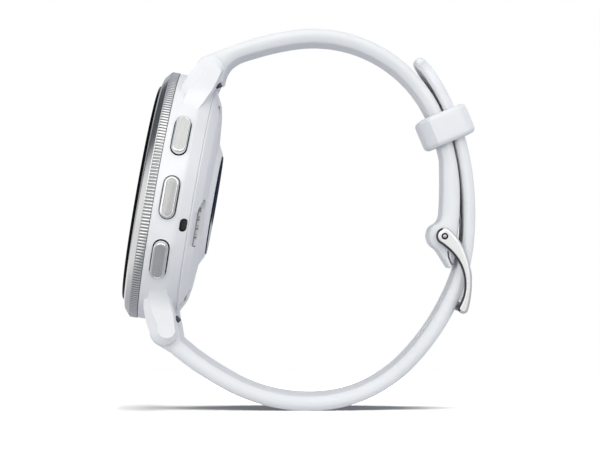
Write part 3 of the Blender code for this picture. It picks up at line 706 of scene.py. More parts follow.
def bezel_finish(look):
    """Turned steel: fine rings on the chamfer, with painted shade in the roots of the flutes."""
    look.base((0.66, 0.66, 0.655), 0.2, 1.0)
    radius = radius_of(look)
    rings = look.noise(look.math("MULTIPLY", radius, 14.0), 1.0, 3.0)
    look.set(Roughness=look.between(rings, 0.35, 0.65, 0.15, 0.24))
    root = look.between(radius, BEZEL_R - FLUTE_DEPTH, BEZEL_R - 0.25 * FLUTE_DEPTH)
    on_band = look.between(look.split(look.coords)["Z"], 1.42, 1.46, 1.0, 0.0)
    # Painted shade: the roots of the flutes on the band are darkened in colour.
    flute_root_shade = look.math("MULTIPLY", on_band, look.math("SUBTRACT", 1.0, root))
    look.set(Base_Color=look.mix(flute_root_shade, (0.66, 0.66, 0.655), (0.30, 0.30, 0.305)))
    look.bump(rings, 0.0015, 0.5)


def board_finish(look):
    """Solder mask over tracks, with tinned pads."""
    look.base((0.012, 0.10, 0.045), 0.38)
    layout = {"Scale": 1.3, "Mortar_Size": 0.03, "Brick_Width": 0.9, "Row_Height": 0.35}
    tracks = look.node("TexBrick", out="Fac", Vector=look.coords, **layout)
    pads = look.node("TexVoronoi", out="Distance", Vector=look.coords, Scale=1.1)
    pad_mask = look.between(pads, 0.16, 0.2, 1.0, 0.0)
    green = look.mix(tracks, (0.012, 0.10, 0.045), (0.02, 0.19, 0.085))
    look.set(Base_Color=look.mix(pad_mask, green, (0.7, 0.68, 0.6)), Metallic=pad_mask)
    look.bump(look.math("ADD", tracks, pad_mask), 0.02, 0.7)


def flex_finish(look):
    """Amber film over parallel copper lines."""
    look.base((0.5, 0.26, 0.07), 0.3)
    across = {"bands_direction": "Y"}
    lines = look.node("TexWave", out="Fac", settings=across, Vector=look.coords, Scale=1.2)
    look.set(Base_Color=look.mix(lines, (0.42, 0.19, 0.045), (0.72, 0.40, 0.16)))
    look.set(Coat_Weight=0.4)
    look.bump(lines, 0.01, 0.5)


def plastic_finish(look, tone, roughness=0.5):
    """Plain moulded plastic with a light grain."""
    look.base(tone, roughness)
    grain = look.noise(look.coords, 6.0, 3.0)
    darker = tuple(c * 0.8 for c in tone)
    look.set(Base_Color=look.mix(look.between(look.noise(look.coords, 0.5), 0.3, 0.7), darker, tone))
    look.set(Roughness=look.between(grain, 0.3, 0.7, roughness - 0.08, roughness + 0.1))
    look.bump(grain, 0.012, 0.6)


def foil_finish(look):
    """Crinkled laminate foil."""
    look.base((0.5, 0.51, 0.53), 0.35, 0.85)
    creases = look.node("TexVoronoi", out="Distance", Vector=look.coords, Scale=0.7)
    look.set(Roughness=look.between(creases, 0.1, 0.8, 0.26, 0.42))
    look.set(Base_Color=look.mix(creases, (0.42, 0.43, 0.45), (0.58, 0.59, 0.61)))
    look.bump(creases, 0.05, 0.5)


# Fineness of the grain in metal, along each axis
EVEN = (6.0, 6.0, 6.0)
ALONG_Y = (10.0, 0.25, 10.0)
FINISHES = {
    "case_polymer": (polymer_finish,),
    "bezel_steel": (bezel_finish,),
    "black_glass": (glass_finish,),
    "display_black": (glass_finish,),
    "seal_rubber": (plastic_finish, (0.03, 0.03, 0.032), 0.7),
    "button_steel": (metal_finish, (0.6, 0.6, 0.595), 0.3, ALONG_Y),
    "spring_steel": (metal_finish, (0.42, 0.42, 0.43), 0.28, EVEN),
    "switch_steel": (metal_finish, (0.6, 0.6, 0.6), 0.3, EVEN),
    "copper_flex": (flex_finish,),
    "grey_plastic": (plastic_finish, (0.3, 0.31, 0.33)),
    "circuit_board": (board_finish,),
    "tinned_steel": (metal_finish, (0.66, 0.66, 0.65), 0.34, EVEN, 0.004),
    "battery_foil": (foil_finish,),
    "gold_plate": (metal_finish, (0.50, 0.47, 0.42), 0.3, EVEN),
    "black_plastic": (plastic_finish, (0.02, 0.02, 0.022)),
    "tungsten": (metal_finish, (0.24, 0.24, 0.25), 0.45, EVEN, 0.01),
    "screw_steel": (metal_finish, (0.52, 0.52, 0.52), 0.28, EVEN),
    "bar_steel": (metal_finish, (0.6, 0.6, 0.6), 0.25, ALONG_Y),
    "lever_steel": (metal_finish, (0.10, 0.105, 0.13), 0.32, EVEN),
    "band_silicone": (silicone_finish,),
    "buckle_steel": (metal_finish, (0.82, 0.82, 0.815), 0.4, (9.0, 9.0, 9.0), 0.0002, 0.03),
    # Beyond the slots: glass with its print, the two faces of a button, and dark colours that are painted shade:
    # on the buckle's inner edges, in the charging recess and in the pockets of the case
    "front_glass": (glass_finish, display_details),
    "sensor_glass": (glass_finish, sensor_details),
    "button_face": (metal_finish, (0.62, 0.62, 0.615), 0.28, (10.0, 0.2, 10.0), 0.0004, 0.03),
    "button_rim": (metal_finish, (0.82, 0.82, 0.82), 0.09, (3.0, 3.0, 3.0), 0.0006, 0.03),
    # Painted shade for the inner edges of the buckle's arms and its pin bores
    "buckle_painted_shade": (metal_finish, (0.09, 0.09, 0.095), 0.32, EVEN, 0.0003, 0.03),
    # Painted shade for the faces of the charging recess in the back
    "recess_painted_shade": (plastic_finish, (0.24, 0.245, 0.26), 0.45),
    # Painted shade for the walls and floors of the pockets in the side of the case
    "pocket_painted_shade": (plastic_finish, (0.012, 0.012, 0.014), 0.7),
}
MADE = {}


def look_of(finish, name=None, coords_of=Surface.drawn):
    """The finish as a material, made once for each name. New pieces pattern it as they were drawn."""
    name = name or finish
    if name not in MADE:
        pattern, *settings = FINISHES[finish]
        look = Surface(name, coords_of)
        pattern(look, *settings)
        MADE[name] = look.material
    return MADE[name]


def dress_cad_nodes():
    """Gives every CAD node its slot's finish, patterned by its place in the row frame."""
    for name, node in frame["nodes"].items():
        slot = SLOT_OF[name]
        node.data.materials.clear()
        node.data.materials.append(look_of(slot, f"{slot}_cad", Surface.place))


def settle(piece, matrix, body, slot, nodes, finishes=(), sharp=32.0):
    """Keeps the drawn coordinates, moves the piece into the row frame and ties it to the CAD."""
    mesh = piece.data
    drawn = mesh.attributes.new("drawn", "FLOAT_VECTOR", "POINT")
    drawn.data.foreach_set("vector", [c for vert in mesh.vertices for c in vert.co])
    mesh.transform(Matrix.Scale(MM, 4) @ matrix)
    mesh.materials.clear()
    for finish in finishes or [slot]:
        mesh.materials.append(look_of(finish))
    mesh.shade_smooth()
    mesh.set_sharp_from_angle(angle=math.radians(sharp))
    flat = piece.modifiers.new("Flat faces stay flat", "WEIGHTED_NORMAL")
    flat.keep_sharp = True
    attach(piece, body)
    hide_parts(*nodes)
    return piece


def paint(piece, index, chosen):
    """Gives a material index to the faces whose drawn corners are all chosen."""
    kept = [chosen(Vector(row.vector)) for row in piece.data.attributes["drawn"].data]
    for face in piece.data.polygons:
        if all(kept[i] for i in face.vertices):
            face.material_index = index


def in_pill(point, centre, size, margin=0.0):
    """Whether a point lies inside a stadium, long along the first of its two axes."""
    reach = (size[0] - size[1]) / 2
    along = max(0.0, abs(point[0] - centre[0]) - reach)
    return math.hypot(along, point[1] - centre[1]) < size[1] / 2 + margin


# --- Watch head ---------------------------------------------------------------------------


def lug_outline(front, tip, tip_r, back):
    return list(front) + arc(tip, tip_r, 62, -80, 14) + list(back)


def lug_side(end):
    """The lugs' side view: full in the middle, drawn in at the outer faces to leave a broad soft bevel.

    Beyond the outer faces the outline shrinks further, so that the web to the round side fades out.
    """
    full = lug_outline(
        ((12.0, -0.6), (15.0, -0.7), (17.5, -0.85), (20.0, -1.1), (22.3, -1.95), (23.6, -2.6)),
        LUG_TIP,
        LUG_TIP_R,
        ((20.4, -6.95), (18.8, -6.2), (17.3, -5.65), (15.6, -5.15), (13.8, -4.8), (12.0, -4.7)),
    )
    face = lug_outline(
        ((12.0, -0.7), (15.0, -0.85), (17.0, -1.3), (19.0, -2.1), (21.0, -3.1), (22.6, -4.15)),
        (23.1, -5.9),
        1.6,
        ((20.3, -6.55), (18.7, -5.85), (17.2, -5.33), (15.5, -4.92), (13.7, -4.68), (12.0, -4.6)),
    )
    faded = lug_outline(
        ((12.0, -1.9), (15.0, -2.05), (17.0, -2.5), (19.0, -3.2), (21.0, -4.0), (22.4, -4.8)),
        (23.1, -5.7),
        0.7,
        ((20.3, -6.0), (18.7, -5.3), (17.2, -4.75), (15.5, -4.3), (13.7, -4.1), (12.0, -4.0)),
    )
    half = ((20.0, faded), (16.2, faded), (LUG_HALF_WIDTH, face), (12.3, full))
    levels = [(-y, shape) for y, shape in half] + [(y, shape) for y, shape in reversed(half)]
    rings = [[(u, y, v) for u, v in shape] for y, shape in levels]
    return skin(f"lug_side_{end}", rings)


def lug_pair(end, sign):
    """Two lugs that grow out of the case with a fillet, rounded at their edges."""
    centre_y = LUG_HALF_WIDTH + LUG_FILLET
    centre_x = math.sqrt((CASE_R + LUG_FILLET) ** 2 - centre_y**2)
    touch = math.degrees(math.atan2(centre_y, -centre_x))
    side = arc((centre_x, -centre_y), LUG_FILLET, touch, 90, 12) + [(28.0, -LUG_HALF_WIDTH)]
    plan = [(12.0, -15.0), *side, *[(x, -y) for x, y in reversed(side)], (12.0, 15.0)]
    body = slab(f"lug_plan_{end}", plan, -12.0, 2.0)
    combine(body, lug_side(end), "INTERSECT")
    cut(body, block(f"lug_gap_{end}", (-40, -STRAP_SLOT, -20), (40, STRAP_SLOT, 5)))
    bevel(body, 0.3, 3, 24)
    if sign < 0:
        moved(body, tilt(180, "Z"))
    return body


def make_case():
    """The round case with its lugs, hollow, with seats for the buttons and the bars."""
    wall = [(CASE_R, 0.0, 0.18), (CASE_R, CASE_SHOULDER, 1.6), (CASE_FOOT_R, CASE_FOOT, 0.08)]
    case = lathe("case_body", rounded_corners([(0.0, 0.0, 0.0), *wall, (0.0, CASE_FOOT, 0.0)]))
    for end, sign in (("top", 1), ("bottom", -1)):
        join(case, lug_pair(end, sign))
    cut(case, rod("case_cavity", CASE_WALL_R, (0, 0, -12), 16, "Z", sides=ROUND))
    into_case = CASE.inverted()
    seat = (BUTTON_LENGTH + 2 * BUTTON_GAP, BUTTON_WIDTH + 2 * BUTTON_GAP)
    levels = [(0.0, BUTTON_SEAT_FLOOR), (0.0, 22.25), (-0.12, 22.42), (-0.12, 25.0)]
    for name, hub in BUTTON_AXES.items():
        cut(case, moved(stack(f"seat_{name}", pill((0, 0), *seat), levels, "X"), into_case @ hub))
        bore = slab(f"bore_{name}", disc((0, 0), BUTTON_BORE_R, 24), 17.0, 21.5, "X")
        cut(case, moved(bore, into_case @ hub))
    levels = [(0.0, MIC_PORT_FLOOR), (0.0, 22.0), (-0.1, 25.0)]
    port = stack("mic_port", pill(MIC_PORT_AT, *MIC_PORT_SIZE), levels, "X")
    cut(case, moved(port, into_case @ MIC))
    cut(case, block("speaker_port", *SPEAKER_PORT))
    for sign in (1, -1):
        cut(case, rod("bar_bore", BAR_BORE_R, (sign * BAR_AT[0], -12.6, BAR_AT[1]), 25.2, "Y"))
    settle(case, CASE, "watch", "case_polymer", ["mid_case"], ["case_polymer", "pocket_painted_shade"])
    # Painted shade in the seats of the buttons and in the microphone port
    for hub in BUTTON_AXES.values():
        paint_pocket(case, hub.inverted() @ CASE, (0.0, 0.0), seat)
    paint_pocket(case, MIC.inverted() @ CASE, MIC_PORT_AT, MIC_PORT_SIZE)


def paint_pocket(case, into_hub, centre, size):
    """Paints shade on the walls and floor of a pocket in the side of the case, as a dark colour."""

    def chosen(point):
        narrowed = max(0.0, CASE_SHOULDER - point.z) / (CASE_SHOULDER - CASE_FOOT)
        wall = CASE_R - (CASE_R - CASE_FOOT_R) * narrowed
        seen = into_hub @ point
        buried = CASE_WALL_R + 0.1 < math.hypot(point.x, point.y) < wall + 0.02
        return buried and seen.x > 0 and in_pill((seen.y, seen.z), centre, size, 0.05)

    paint(case, 1, chosen)


def make_bezel():
    """A smooth chamfer in front of a band of fine flutes."""
    crest = [(22.36, 1.5), (22.44, 1.44), (BEZEL_R, 1.38), (BEZEL_R, 0.16), (22.42, 0.06)]
    inside = [(18.6, 1.7, 0.0), (19.95, 1.7, 0.0), (19.95, 2.78, 0.08)]
    chamfer = [(20.35, 2.8, 0.1), (21.2, 2.55, 0.9), (22.36, 1.58, 0.06), (22.36, 1.5, 0.0)]
    profile = rounded_corners(inside + chamfer)[:-1] + crest + [(22.3, 0.05), (18.6, 0.05)]
    per_flute = 6
    sides = FLUTES * per_flute
    rings = []
    for r, h in profile:
        fluted = 0.1 < h < 1.45 and r > 22.4
        ring = []
        for i in range(sides):
            turn = math.tau * i / sides
            wave = (1 - math.cos(math.tau * i / per_flute)) / 2
            reach = r - (FLUTE_DEPTH * wave if fluted else 0.0)
            ring.append((reach * math.cos(turn), reach * math.sin(turn), h))
        rings.append(ring)
    bezel = skin("bezel_ring", rings, closed_path=True)
    settle(bezel, CASE, "watch", "bezel_steel", ["bezel"], sharp=50.0)


def make_glass():
    """The display's glass, rounded over at its rim."""
    rim = [(19.35, GLASS_FRONT, 0.5), (19.7, 3.0, 0.3), (GLASS_R, 2.5, 0.2), (GLASS_R, GLASS_BACK, 0.1)]
    profile = rounded_corners([(0.0, GLASS_FRONT, 0.0), *rim, (0.0, GLASS_BACK, 0.0)], count=8)
    glass = lathe("front_glass", profile)
    settle(glass, CASE, "watch", "black_glass", ["cover_glass"], ["front_glass"])


def make_back():
    """The back cover: a turned shell with its boss, screw seats and charging recess."""
    inside = [(9.6, -8.5, 0.0), (9.6, -7.6, 0.0), (18.9, -7.6, 0.0), (18.9, -6.75, 0.0)]
    outside = [(20.62, -6.73, 0.05), (20.35, -7.05, 0.3), (18.0, -8.3, 3.0), (15.8, -8.7, 6.0)]
    boss = [(11.15, -9.1, 0.8), (9.5, -9.95, 0.25), (9.12, -10.0, 0.06)]
    ledge = [(9.12, -9.4, 0.0), (7.6, -9.4, 0.0), (7.6, -8.5, 0.0)]
    profile = rounded_corners(inside + outside + boss + ledge, closed=True, count=6)
    cover = lathe("back_shell", profile, ring=True)
    for x, y in screw_spots():
        join(cover, rod("pad", SCREW_PAD_R, (x, y, -7.8), 0.9, "Z"))
        outline = disc((x, y), SCREW_HEAD_R, SMALL_ROUND)
        cut(cover, stack("head_seat", outline, [(0, -7.55), (0, -8.7), (-0.25, -9.1), (-0.25, -9.6)]))
        cut(cover, rod("shank_hole", SCREW_HOLE_R, (x, y, -8), 2, "Z"))
    cut(cover, slab("charge_opening", pill(CHARGE_AT, *CHARGE_SIZE), -12.0, -5.0))
    recess = pill(RECESS_AT, *RECESS_SIZE)
    levels = [(0.0, RECESS_FLOOR), (0.0, -8.8), (-0.4, -9.6), (-0.4, -12.0)]
    cut(cover, stack("charge_recess", recess, levels))
    settle(cover, CASE, "watch", "case_polymer", ["back_cover"], ["case_polymer", "recess_painted_shade"])
    # Painted shade: the faces of the charging recess are coloured dark grey for the shade inside it.
    paint(cover, 1, lambda p: p.z > -8.85 and in_pill(p, RECESS_AT, RECESS_SIZE, 0.03))


def make_window():
    """The sensor's glass on the boss of the back."""
    rim = [(WINDOW_R, WINDOW_BACK, 0.05), (WINDOW_R, WINDOW_FACE, 0.14)]
    profile = rounded_corners([(0.0, WINDOW_BACK, 0.0), *rim, (0.0, WINDOW_FACE, 0.0)])
    window = lathe("sensor_glass", profile)
    settle(window, CASE, "watch", "black_glass", ["sensor_window"], ["sensor_glass"])


def make_button(name):
    """A polished cap whose brushed face lies a touch below its rounded rim, on a stem."""
    outline = pill((0, 0), BUTTON_LENGTH, BUTTON_WIDTH, 24)
    levels = [(0.12, BUTTON_BACK), (0.0, BUTTON_BACK + 0.12)]
    levels += [(a, BUTTON_FACE - b) for a, b in quarter(BUTTON_EDGE, 8)]
    levels += [(0.40, BUTTON_FACE - 0.01), (0.44, BUTTON_FACE - 0.05)]
    levels += [(0.9, BUTTON_FACE - 0.035), (1.25, BUTTON_FACE - 0.03)]
    cap = stack(f"button_cap_{name}", outline, levels, "X")
    join(cap, slab("stem", disc((0, 0), BUTTON_STEM_R, SMALL_ROUND), 18.2, BUTTON_BACK + 0.4, "X"))
    body, finishes = f"button_{name}", ["button_rim", "button_face"]
    settle(cap, BUTTON_AXES[name], body, "button_steel", [body], finishes)
    size = (BUTTON_LENGTH, BUTTON_WIDTH)
    paint(cap, 1, lambda p: p.x > BUTTON_FACE - 0.08 and in_pill((p.y, p.z), (0, 0), size, -0.43))


def make_levers():
    """Each quick-release pin with its thumb lever, rounded over."""
    for end, sign in (("top", 1), ("bottom", -1)):
        x, z = bar_point(end)
        turn = CASE.to_3x3()
        bar = axes(Vector((x, 0, z)), turn @ Vector((1, 0, 0)), turn @ Vector((0, 0, 1)))
        levels = rounded_levels(*LEVER_PIN_SPAN, 0.12, 0.12)
        pin = stack(f"release_{end}", disc((0, 0), LEVER_PIN_R, 24), levels, "Y")
        levels = rounded_levels(-LEVER_LENGTH, 0.1, 0.25, 0.1)
        tab = stack("tab", rounded_box_outline(*LEVER_HALF_SIZE, 0.3), levels)
        moved(tab, Matrix.Translation((0, LEVER_AT, 0)))
        moved(tab, tilt(sign * LEVER_TILT, "Y"))
        join(pin, tab)
        settle(pin, bar, f"release_{end}", "lever_steel", [f"release_pin_{end}"])


def make_spring(end):
    """The wound spring in a quick-release bar, which closes up as its lever is drawn."""
    low, high = (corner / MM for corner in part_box(f"bar_spring_{end}"))
    reach = (high.z - low.z) / 2 - SPRING_WIRE
    start, length = low.y + SPRING_WIRE, high.y - low.y - 2 * SPRING_WIRE
    wire = [(reach + out, along) for out, along in disc((0, 0), SPRING_WIRE, 8)]
    rings = []
    for i in range(SPRING_TURNS * SPRING_STEPS + 1):
        turn = math.tau * i / SPRING_STEPS
        middle = start + length * i / (SPRING_TURNS * SPRING_STEPS)
        rings.append([(r * math.cos(turn), middle + along, r * math.sin(turn)) for r, along in wire])
    spring = skin(f"release_spring_{end}", rings)
    x, z = bar_point(end)
    settle(spring, Matrix.Translation((x, 0, z)), "watch", "spring_steel", [f"bar_spring_{end}"])
    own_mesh(spring)


# --- Band ---------------------------------------------------------------------------------


def falloff(x, knee=0.7):
    """1 at x = 0, 0 from x = 1 on, with a straight flank and a soft shoulder."""
    y = max(0.0, 1.0 - x)
    return (math.sqrt(y * y + knee * knee) - knee) / (math.sqrt(1 + knee * knee) - knee)


def soft_corners(points, rounds=2):
    """The chain with its corners cut again and again, which leaves a soft curve (Chaikin)."""
    for _ in range(rounds):
        smooth = [points[0]]
        for a, b in zip(points, points[1:]):
            smooth += [blend(a, b, t) for t in (0.25, 0.75)]
        points = smooth + [points[-1]]
    return list(points)


def band_section(inner, outer, half, lean, edge_in, edge_out, crown=0.0):
    """One cross-section: from the inner face round a leaning side to the outer face and back.

    inner and outer are points of the side view, half is half the width, and lean is the share of
    the thickness at which the side stands furthest out.
    """
    thick = math.dist(inner, outer)
    length_in = min(lean * thick, 1.7)
    length_out = min((1 - lean) * thick, 1.2)
    corner = min(0.3, thick / 3)
    shares = [0.0, 0.015, 0.045, 0.09, 0.14, 0.2, 0.27, 0.34, 0.41, 0.48]
    shares += [0.55, 0.62, 0.69, 0.76, 0.83, 0.89, 0.94, 0.97, 0.99, 1.0]
    side = []
    for u in shares:
        from_in, from_out = u * thick, (1 - u) * thick
        drop = edge_in * falloff(from_in / length_in) + edge_out * falloff(from_out / length_out)
        near = min(from_in, from_out)
        if near < corner:
            drop += corner - math.sqrt(corner**2 - (corner - near) ** 2)
        side.append((u, half - drop))
    face = [1.0, 0.985, 0.95, 0.88, 0.75, 0.5, 0.0]
    inner_half, outer_half = side[0][1], side[-1][1]
    ring = list(side)
    rise = crown / thick
    across = face[1:] + [-f for f in face[-2:0:-1]]
    ring += [(1.0 + rise * max(0.0, 1 - f**4), outer_half * f) for f in across]
    ring += [(u, -y) for u, y in reversed(side)]
    ring += [(0.0, -inner_half * f) for f in face[1:]] + [(0.0, inner_half * f) for f in face[-2:0:-1]]
    points = []
    for u, y in ring:
        x, z = blend(inner, outer, u)
        points.append((x, y, z))
    return points


def rail(path, thickness, side, first, last):
    """One face of the band in the side view: side is 1 left of its path and -1 right of it."""
    return [
        beside(*path, s, side * ramp(thickness, s) / 2) for s in steps(first, last, BAND_STEP)
    ]


def band_faces(path, thickness, side, root_out, root_in, root, last):
    """The outer and the inner face of a band half in the side view: its round root, then its path.

    root is the number of points round the root, and how far along the path the root ends.
    """
    root_steps, join_s = root
    outer = resample(root_out + rail(path, thickness, side, 0.0, join_s), root_steps)
    inner = resample(root_in + rail(path, thickness, -side, join_s, join_s + 0.01), root_steps)
    outer += rail(path, thickness, side, join_s, last)[1:]
    inner += rail(path, thickness, -side, join_s, last)[1:]
    return outer, inner


def cut_strap_root(strap, sign):
    """Room for the spring bar and its lever, and for the round side of the case."""
    x, z = sign * BAR_AT[0], BAR_AT[1]
    cut(strap, moved(rod("bar_hole", BAR_SLEEVE_R, (x, -12.0, z), 24, "Y"), CASE))
    pocket = block("lever_pocket", (-0.8, -8.8, -4.5), (0.8, -5.2, 0.0))
    moved(pocket, tilt(sign * LEVER_TILT, "Y"))
    cut(strap, moved(pocket, CASE @ Matrix.Translation((x, 0, z))))
    wall, foot = CASE_R + CASE_ROOM, CASE_FOOT_R + CASE_ROOM
    room = [(0.0, 1.0), (wall, 1.0), (wall, CASE_SHOULDER), (foot, CASE_FOOT), (20.6, -7.3), (0.0, -14.0)]
    cut(strap, moved(lathe("case_room", room), CASE))


def make_band_upper():
    """The buckle half, from the 12 o'clock lugs to the boss that carries the buckle."""
    bar = bar_point("top")
    shape = (UPPER_PATH, UPPER_THICKNESS, 1)
    root_out = arc(bar, ROOT_R, 222, 118, 20)
    root_in = arc(bar, ROOT_R, 228, 300, 16) + soft_corners(UPPER_CROOK)
    outer, inner = band_faces(*shape, root_out, root_in, UPPER_ROOT, BOSS_FROM)
    boss_steps = 70
    swell = [inner[-1], *BOSS_NECK, *arc((PIN.x, PIN.z), BOSS_R, 138, 228, 20), *FLAP_INSIDE]
    back = rail(*shape, BOSS_FROM, path_length(UPPER_ARCS)) + list(FLAP_OUTSIDE)
    outer += resample(back, boss_steps)[1:]
    inner += resample(soft_corners(swell), boss_steps)[1:]
    rings = []
    count = len(outer)
    walked = 0.0
    for i in range(count):
        if i:
            walked += math.dist(outer[i], outer[i - 1])
        s = walked - 8.0
        end = min(1.0, 0.25 + 0.75 * i / 12, 0.3 + 0.7 * (count - 1 - i) / 10)
        half = ramp(BAND_HALF_WIDTH, s)
        crown = ramp(UPPER_CROWN, s)
        rings.append(band_section(inner[i], outer[i], half, 0.62, 0.75 * end, 0.55 * end, crown))
    strap = skin("band_upper", rings)
    hollow = arc((PIN.x, PIN.z), TONGUE_SLOT_R, 60, 250, 16)
    hollow += [(26.5, 24.0), (30.0, 24.0), (30.0, 34.0)]
    cut(strap, slab("tongue_slot", hollow, -TONGUE_SLOT_HALF_WIDTH, TONGUE_SLOT_HALF_WIDTH, "Y"))
    cut(strap, rod("pin_bore", PIN_R + 0.15, (PIN.x, -13, PIN.z), 26, "Y"))
    near = [(x - 0.1, z) for x, z in FLAP_SLIT]
    far = [(x + 0.16, z + 0.1) for x, z in reversed(FLAP_SLIT)]
    for side in (-1, 1):
        low, high = sorted(side * y for y in FLAP_SLIT_SPAN)
        cut(strap, slab("flap_slit", near + far, low, high, "Y"))
    cut_strap_root(strap, 1)
    settle(strap, Matrix.Identity(4), "watch", "band_silicone", ["strap_upper"])


def tip_rings(last, end):
    """Rings that round the tail off past its last section, which stands at the path's end."""
    x, z, angle = end
    middle = Vector((x, 0.0, z))
    onward = Vector((math.cos(angle), 0.0, math.sin(angle)))
    rings = []
    for turn in (25, 50, 72, 86):
        near = math.cos(math.radians(turn))
        shift = onward * (TIP_ROUND * math.sin(math.radians(turn)))
        ring = []
        for px, py, pz in last:
            spot = middle + (Vector((px, 0.0, pz)) - middle) * near + shift
            ring.append((spot.x, py * (0.86 + 0.14 * near), spot.z))
        rings.append(ring)
    return rings


def make_band_tail():
    """The tail half, from the 6 o'clock lugs, under the wrist and out through the buckle."""
    bar = bar_point("bottom")
    total = path_length(LOWER_ARCS) - TAIL_TRIM
    root_out = arc(bar, ROOT_R, 138, 242, 20)
    root_in = arc(bar, ROOT_R, 132, 46, 16) + soft_corners(LOWER_CROOK)
    root_steps, join_s = LOWER_ROOT
    outer, inner = band_faces(LOWER_PATH, LOWER_THICKNESS, -1, root_out, root_in, LOWER_ROOT, total)
    rings = []
    walked = 0.0
    for i in range(len(outer)):
        if i:
            walked += math.dist(inner[i], inner[i - 1])
        s = walked - 6.0 if i < root_steps else join_s + (i - root_steps + 1) * BAND_STEP
        s = min(s, total)
        end = min(1.0, 0.25 + 0.75 * i / 12)
        half = ramp(BAND_HALF_WIDTH, s)
        past = max(0.0, (s - (total - TIP_LENGTH)) / TIP_LENGTH)
        half *= 0.28 + 0.72 * math.sqrt(max(0.0, 1 - past**2.4))
        lean = ramp(LOWER_LEAN, s)
        crown = ramp(TAIL_CROWN, s)
        rings.append(band_section(outer[i], inner[i], half, lean, 0.6 * end, 0.75 * end, crown))
    strap = skin("band_tail", rings + tip_rings(rings[-1], path_point(*LOWER_PATH, total)))
    for i in HOLES:
        s = HOLE_IN_USE + i * HOLE_PITCH
        x, z, heading = path_point(*LOWER_PATH, s)
        levels = [(-0.3, -1.9), (-0.22, -1.0), (0.0, -0.75), (0.0, 0.75), (-0.22, 1.0), (-0.3, 1.9)]
        hole = stack("hole", pill((0, 0), HOLE_LENGTH, HOLE_WIDTH), levels)
        hub = Matrix.Translation((x, 0, z)) @ Matrix.Rotation(-heading, 4, "Y")
        cut(strap, moved(hole, hub))
    cut_strap_root(strap, -1)
    settle(strap, Matrix.Identity(4), "watch", "band_silicone", ["strap_lower"])


def make_keeper():
    """A loop with soft edges, thicker at its sides than across the band."""
    x, y, z = (side / 2 for side in KEEPER_SIZE)
    u, v = (side / 2 for side in KEEPER_HOLE)
    side = [(-x, -y + 2.5, 0.9), (-x + 1.9, -y, 0.9), (x - 1.5, -y, 0.8), (x, -y + 1.5, 0.8)]
    mirrored = [(u, -v, r) for u, v, r in reversed(side)]
    outer = resample_closed(rounded_corners(side + mirrored, closed=True, count=6), 96)
    hole = resample_closed(rounded_box_outline(u, v, 0.7, 12), 96)
    edge, lip, count = 0.95, 0.3, 6
    rings = [(outer, a, z - b) for a, b in quarter(edge, count)]
    rings += [(hole, -b, z - a) for a, b in quarter(lip, count)]
    rings += [(shape, inset, -height) for shape, inset, height in reversed(rings)]
    drawn = [[(a, b, h) for a, b in inset_outline(shape, inset)] for shape, inset, h in rings]
    loop = skin("band_keeper", drawn, closed_path=True)
    hub = Matrix.Translation(centre_of("keeper")) @ tilt(-KEEPER_TILT, "Y")
    settle(loop, hub, "keeper", "band_silicone", ["keeper"])


# --- Buckle -------------------------------------------------------------------------------


def strip_outline(path, half_at, spots, tip_r, tip_steps):
    """Both edges of a strip along a path and its rounded tip; a head at the start closes it."""

    def edge(side):
        return [beside(*path, s, side * half_at(s)) for s in spots]

    x, z, angle = path_point(*path, spots[-1])
    turn = math.degrees(angle)
    return edge(1) + arc((x, z), tip_r, turn + 80, turn - 80, tip_steps) + edge(-1)[::-1]


def smooth_ramp(table, s, reach=1.2):
    """The ramp averaged over a short reach, so that its corners are rounded."""
    spots = [s + reach * (i / 4 - 1) for i in range(9)]
    return sum(ramp(table, max(0.0, spot)) for spot in spots) / len(spots)


def on_inner_edge(point):
    """Whether a point of the bow, in the pin's frame, lies on the arms' inner edge or in a bore, where shade is
    painted.
    """
    turn = math.radians(ARM_HEADING)
    centre = (ARM_RADIUS * math.sin(turn), -ARM_RADIUS * math.cos(turn))
    outward = math.hypot(point.x - centre[0], point.z - centre[1]) - ARM_RADIUS
    reach = 0.6 * ARM_HALF_HEIGHT[0][1] if point.x < 0.3 else -0.2
    bored = math.hypot(point.x, point.z) < PIN_R + 0.12
    return bored or (outward < reach and ARM_INSIDE - 0.1 < abs(point.y) < ARM_OUTSIDE - 0.001)


def make_buckle():
    """The bow with its crossbar, the pin through its arms, and the prong."""
    hub = Matrix.Translation((PIN.x, 0, PIN.z))
    end_x, end_z, _ = path_point(*ARM_PATH, ARM_LENGTH)
    spots = steps(0.0, ARM_LENGTH, 0.4)
    tip_r = ARM_HALF_HEIGHT[-1][1]
    outline = strip_outline(ARM_PATH, lambda s: smooth_ramp(ARM_HALF_HEIGHT, s), spots, tip_r, 12)
    outline += arc((0.0, 0.0), ARM_HALF_HEIGHT[0][1], ARM_HEADING - 95, ARM_HEADING - 265, 28)
    near_arm = rounded_levels(-ARM_OUTSIDE, -ARM_INSIDE, ARM_EDGE, 0.15)
    far_arm = rounded_levels(ARM_INSIDE, ARM_OUTSIDE, 0.15, ARM_EDGE)
    bow = stack("buckle_bow", outline, near_arm, "Y")
    join(bow, stack("arm", outline, far_arm, "Y"))
    at = (end_x, -ARM_INSIDE - CROSSBAR_OVERLAP, end_z)
    join(bow, rod("crossbar", CROSSBAR_R, at, 2 * ARM_INSIDE + 2 * CROSSBAR_OVERLAP, "Y"))
    cut(bow, block("tongue_rest", (end_x + 0.1, -1.1, end_z - 2), (end_x + 3, 1.1, end_z + 2)))
    for start in (-13, 10):
        cut(bow, rod("arm_bore", PIN_R + 0.1, (0, start, 0), 3, "Y"))
    finishes = ["buckle_steel", "buckle_painted_shade"]
    settle(bow, hub, "buckle_frame", "buckle_steel", ["buckle_frame"], finishes)
    # Painted shade: the arms' inner edges and the pin bores get a dark colour for the shade between the bow and
    # the band.
    paint(bow, 1, on_inner_edge)
    levels = rounded_levels(-ARM_OUTSIDE - 0.02, ARM_OUTSIDE + 0.02, 0.16, 0.16)
    pin = stack("buckle_bar", disc((0, 0), PIN_R - 0.13, SMALL_ROUND), levels, "Y")
    settle(pin, hub, "watch", "buckle_steel", ["buckle_pin"], ["bar_steel"])
    make_tongue(hub)


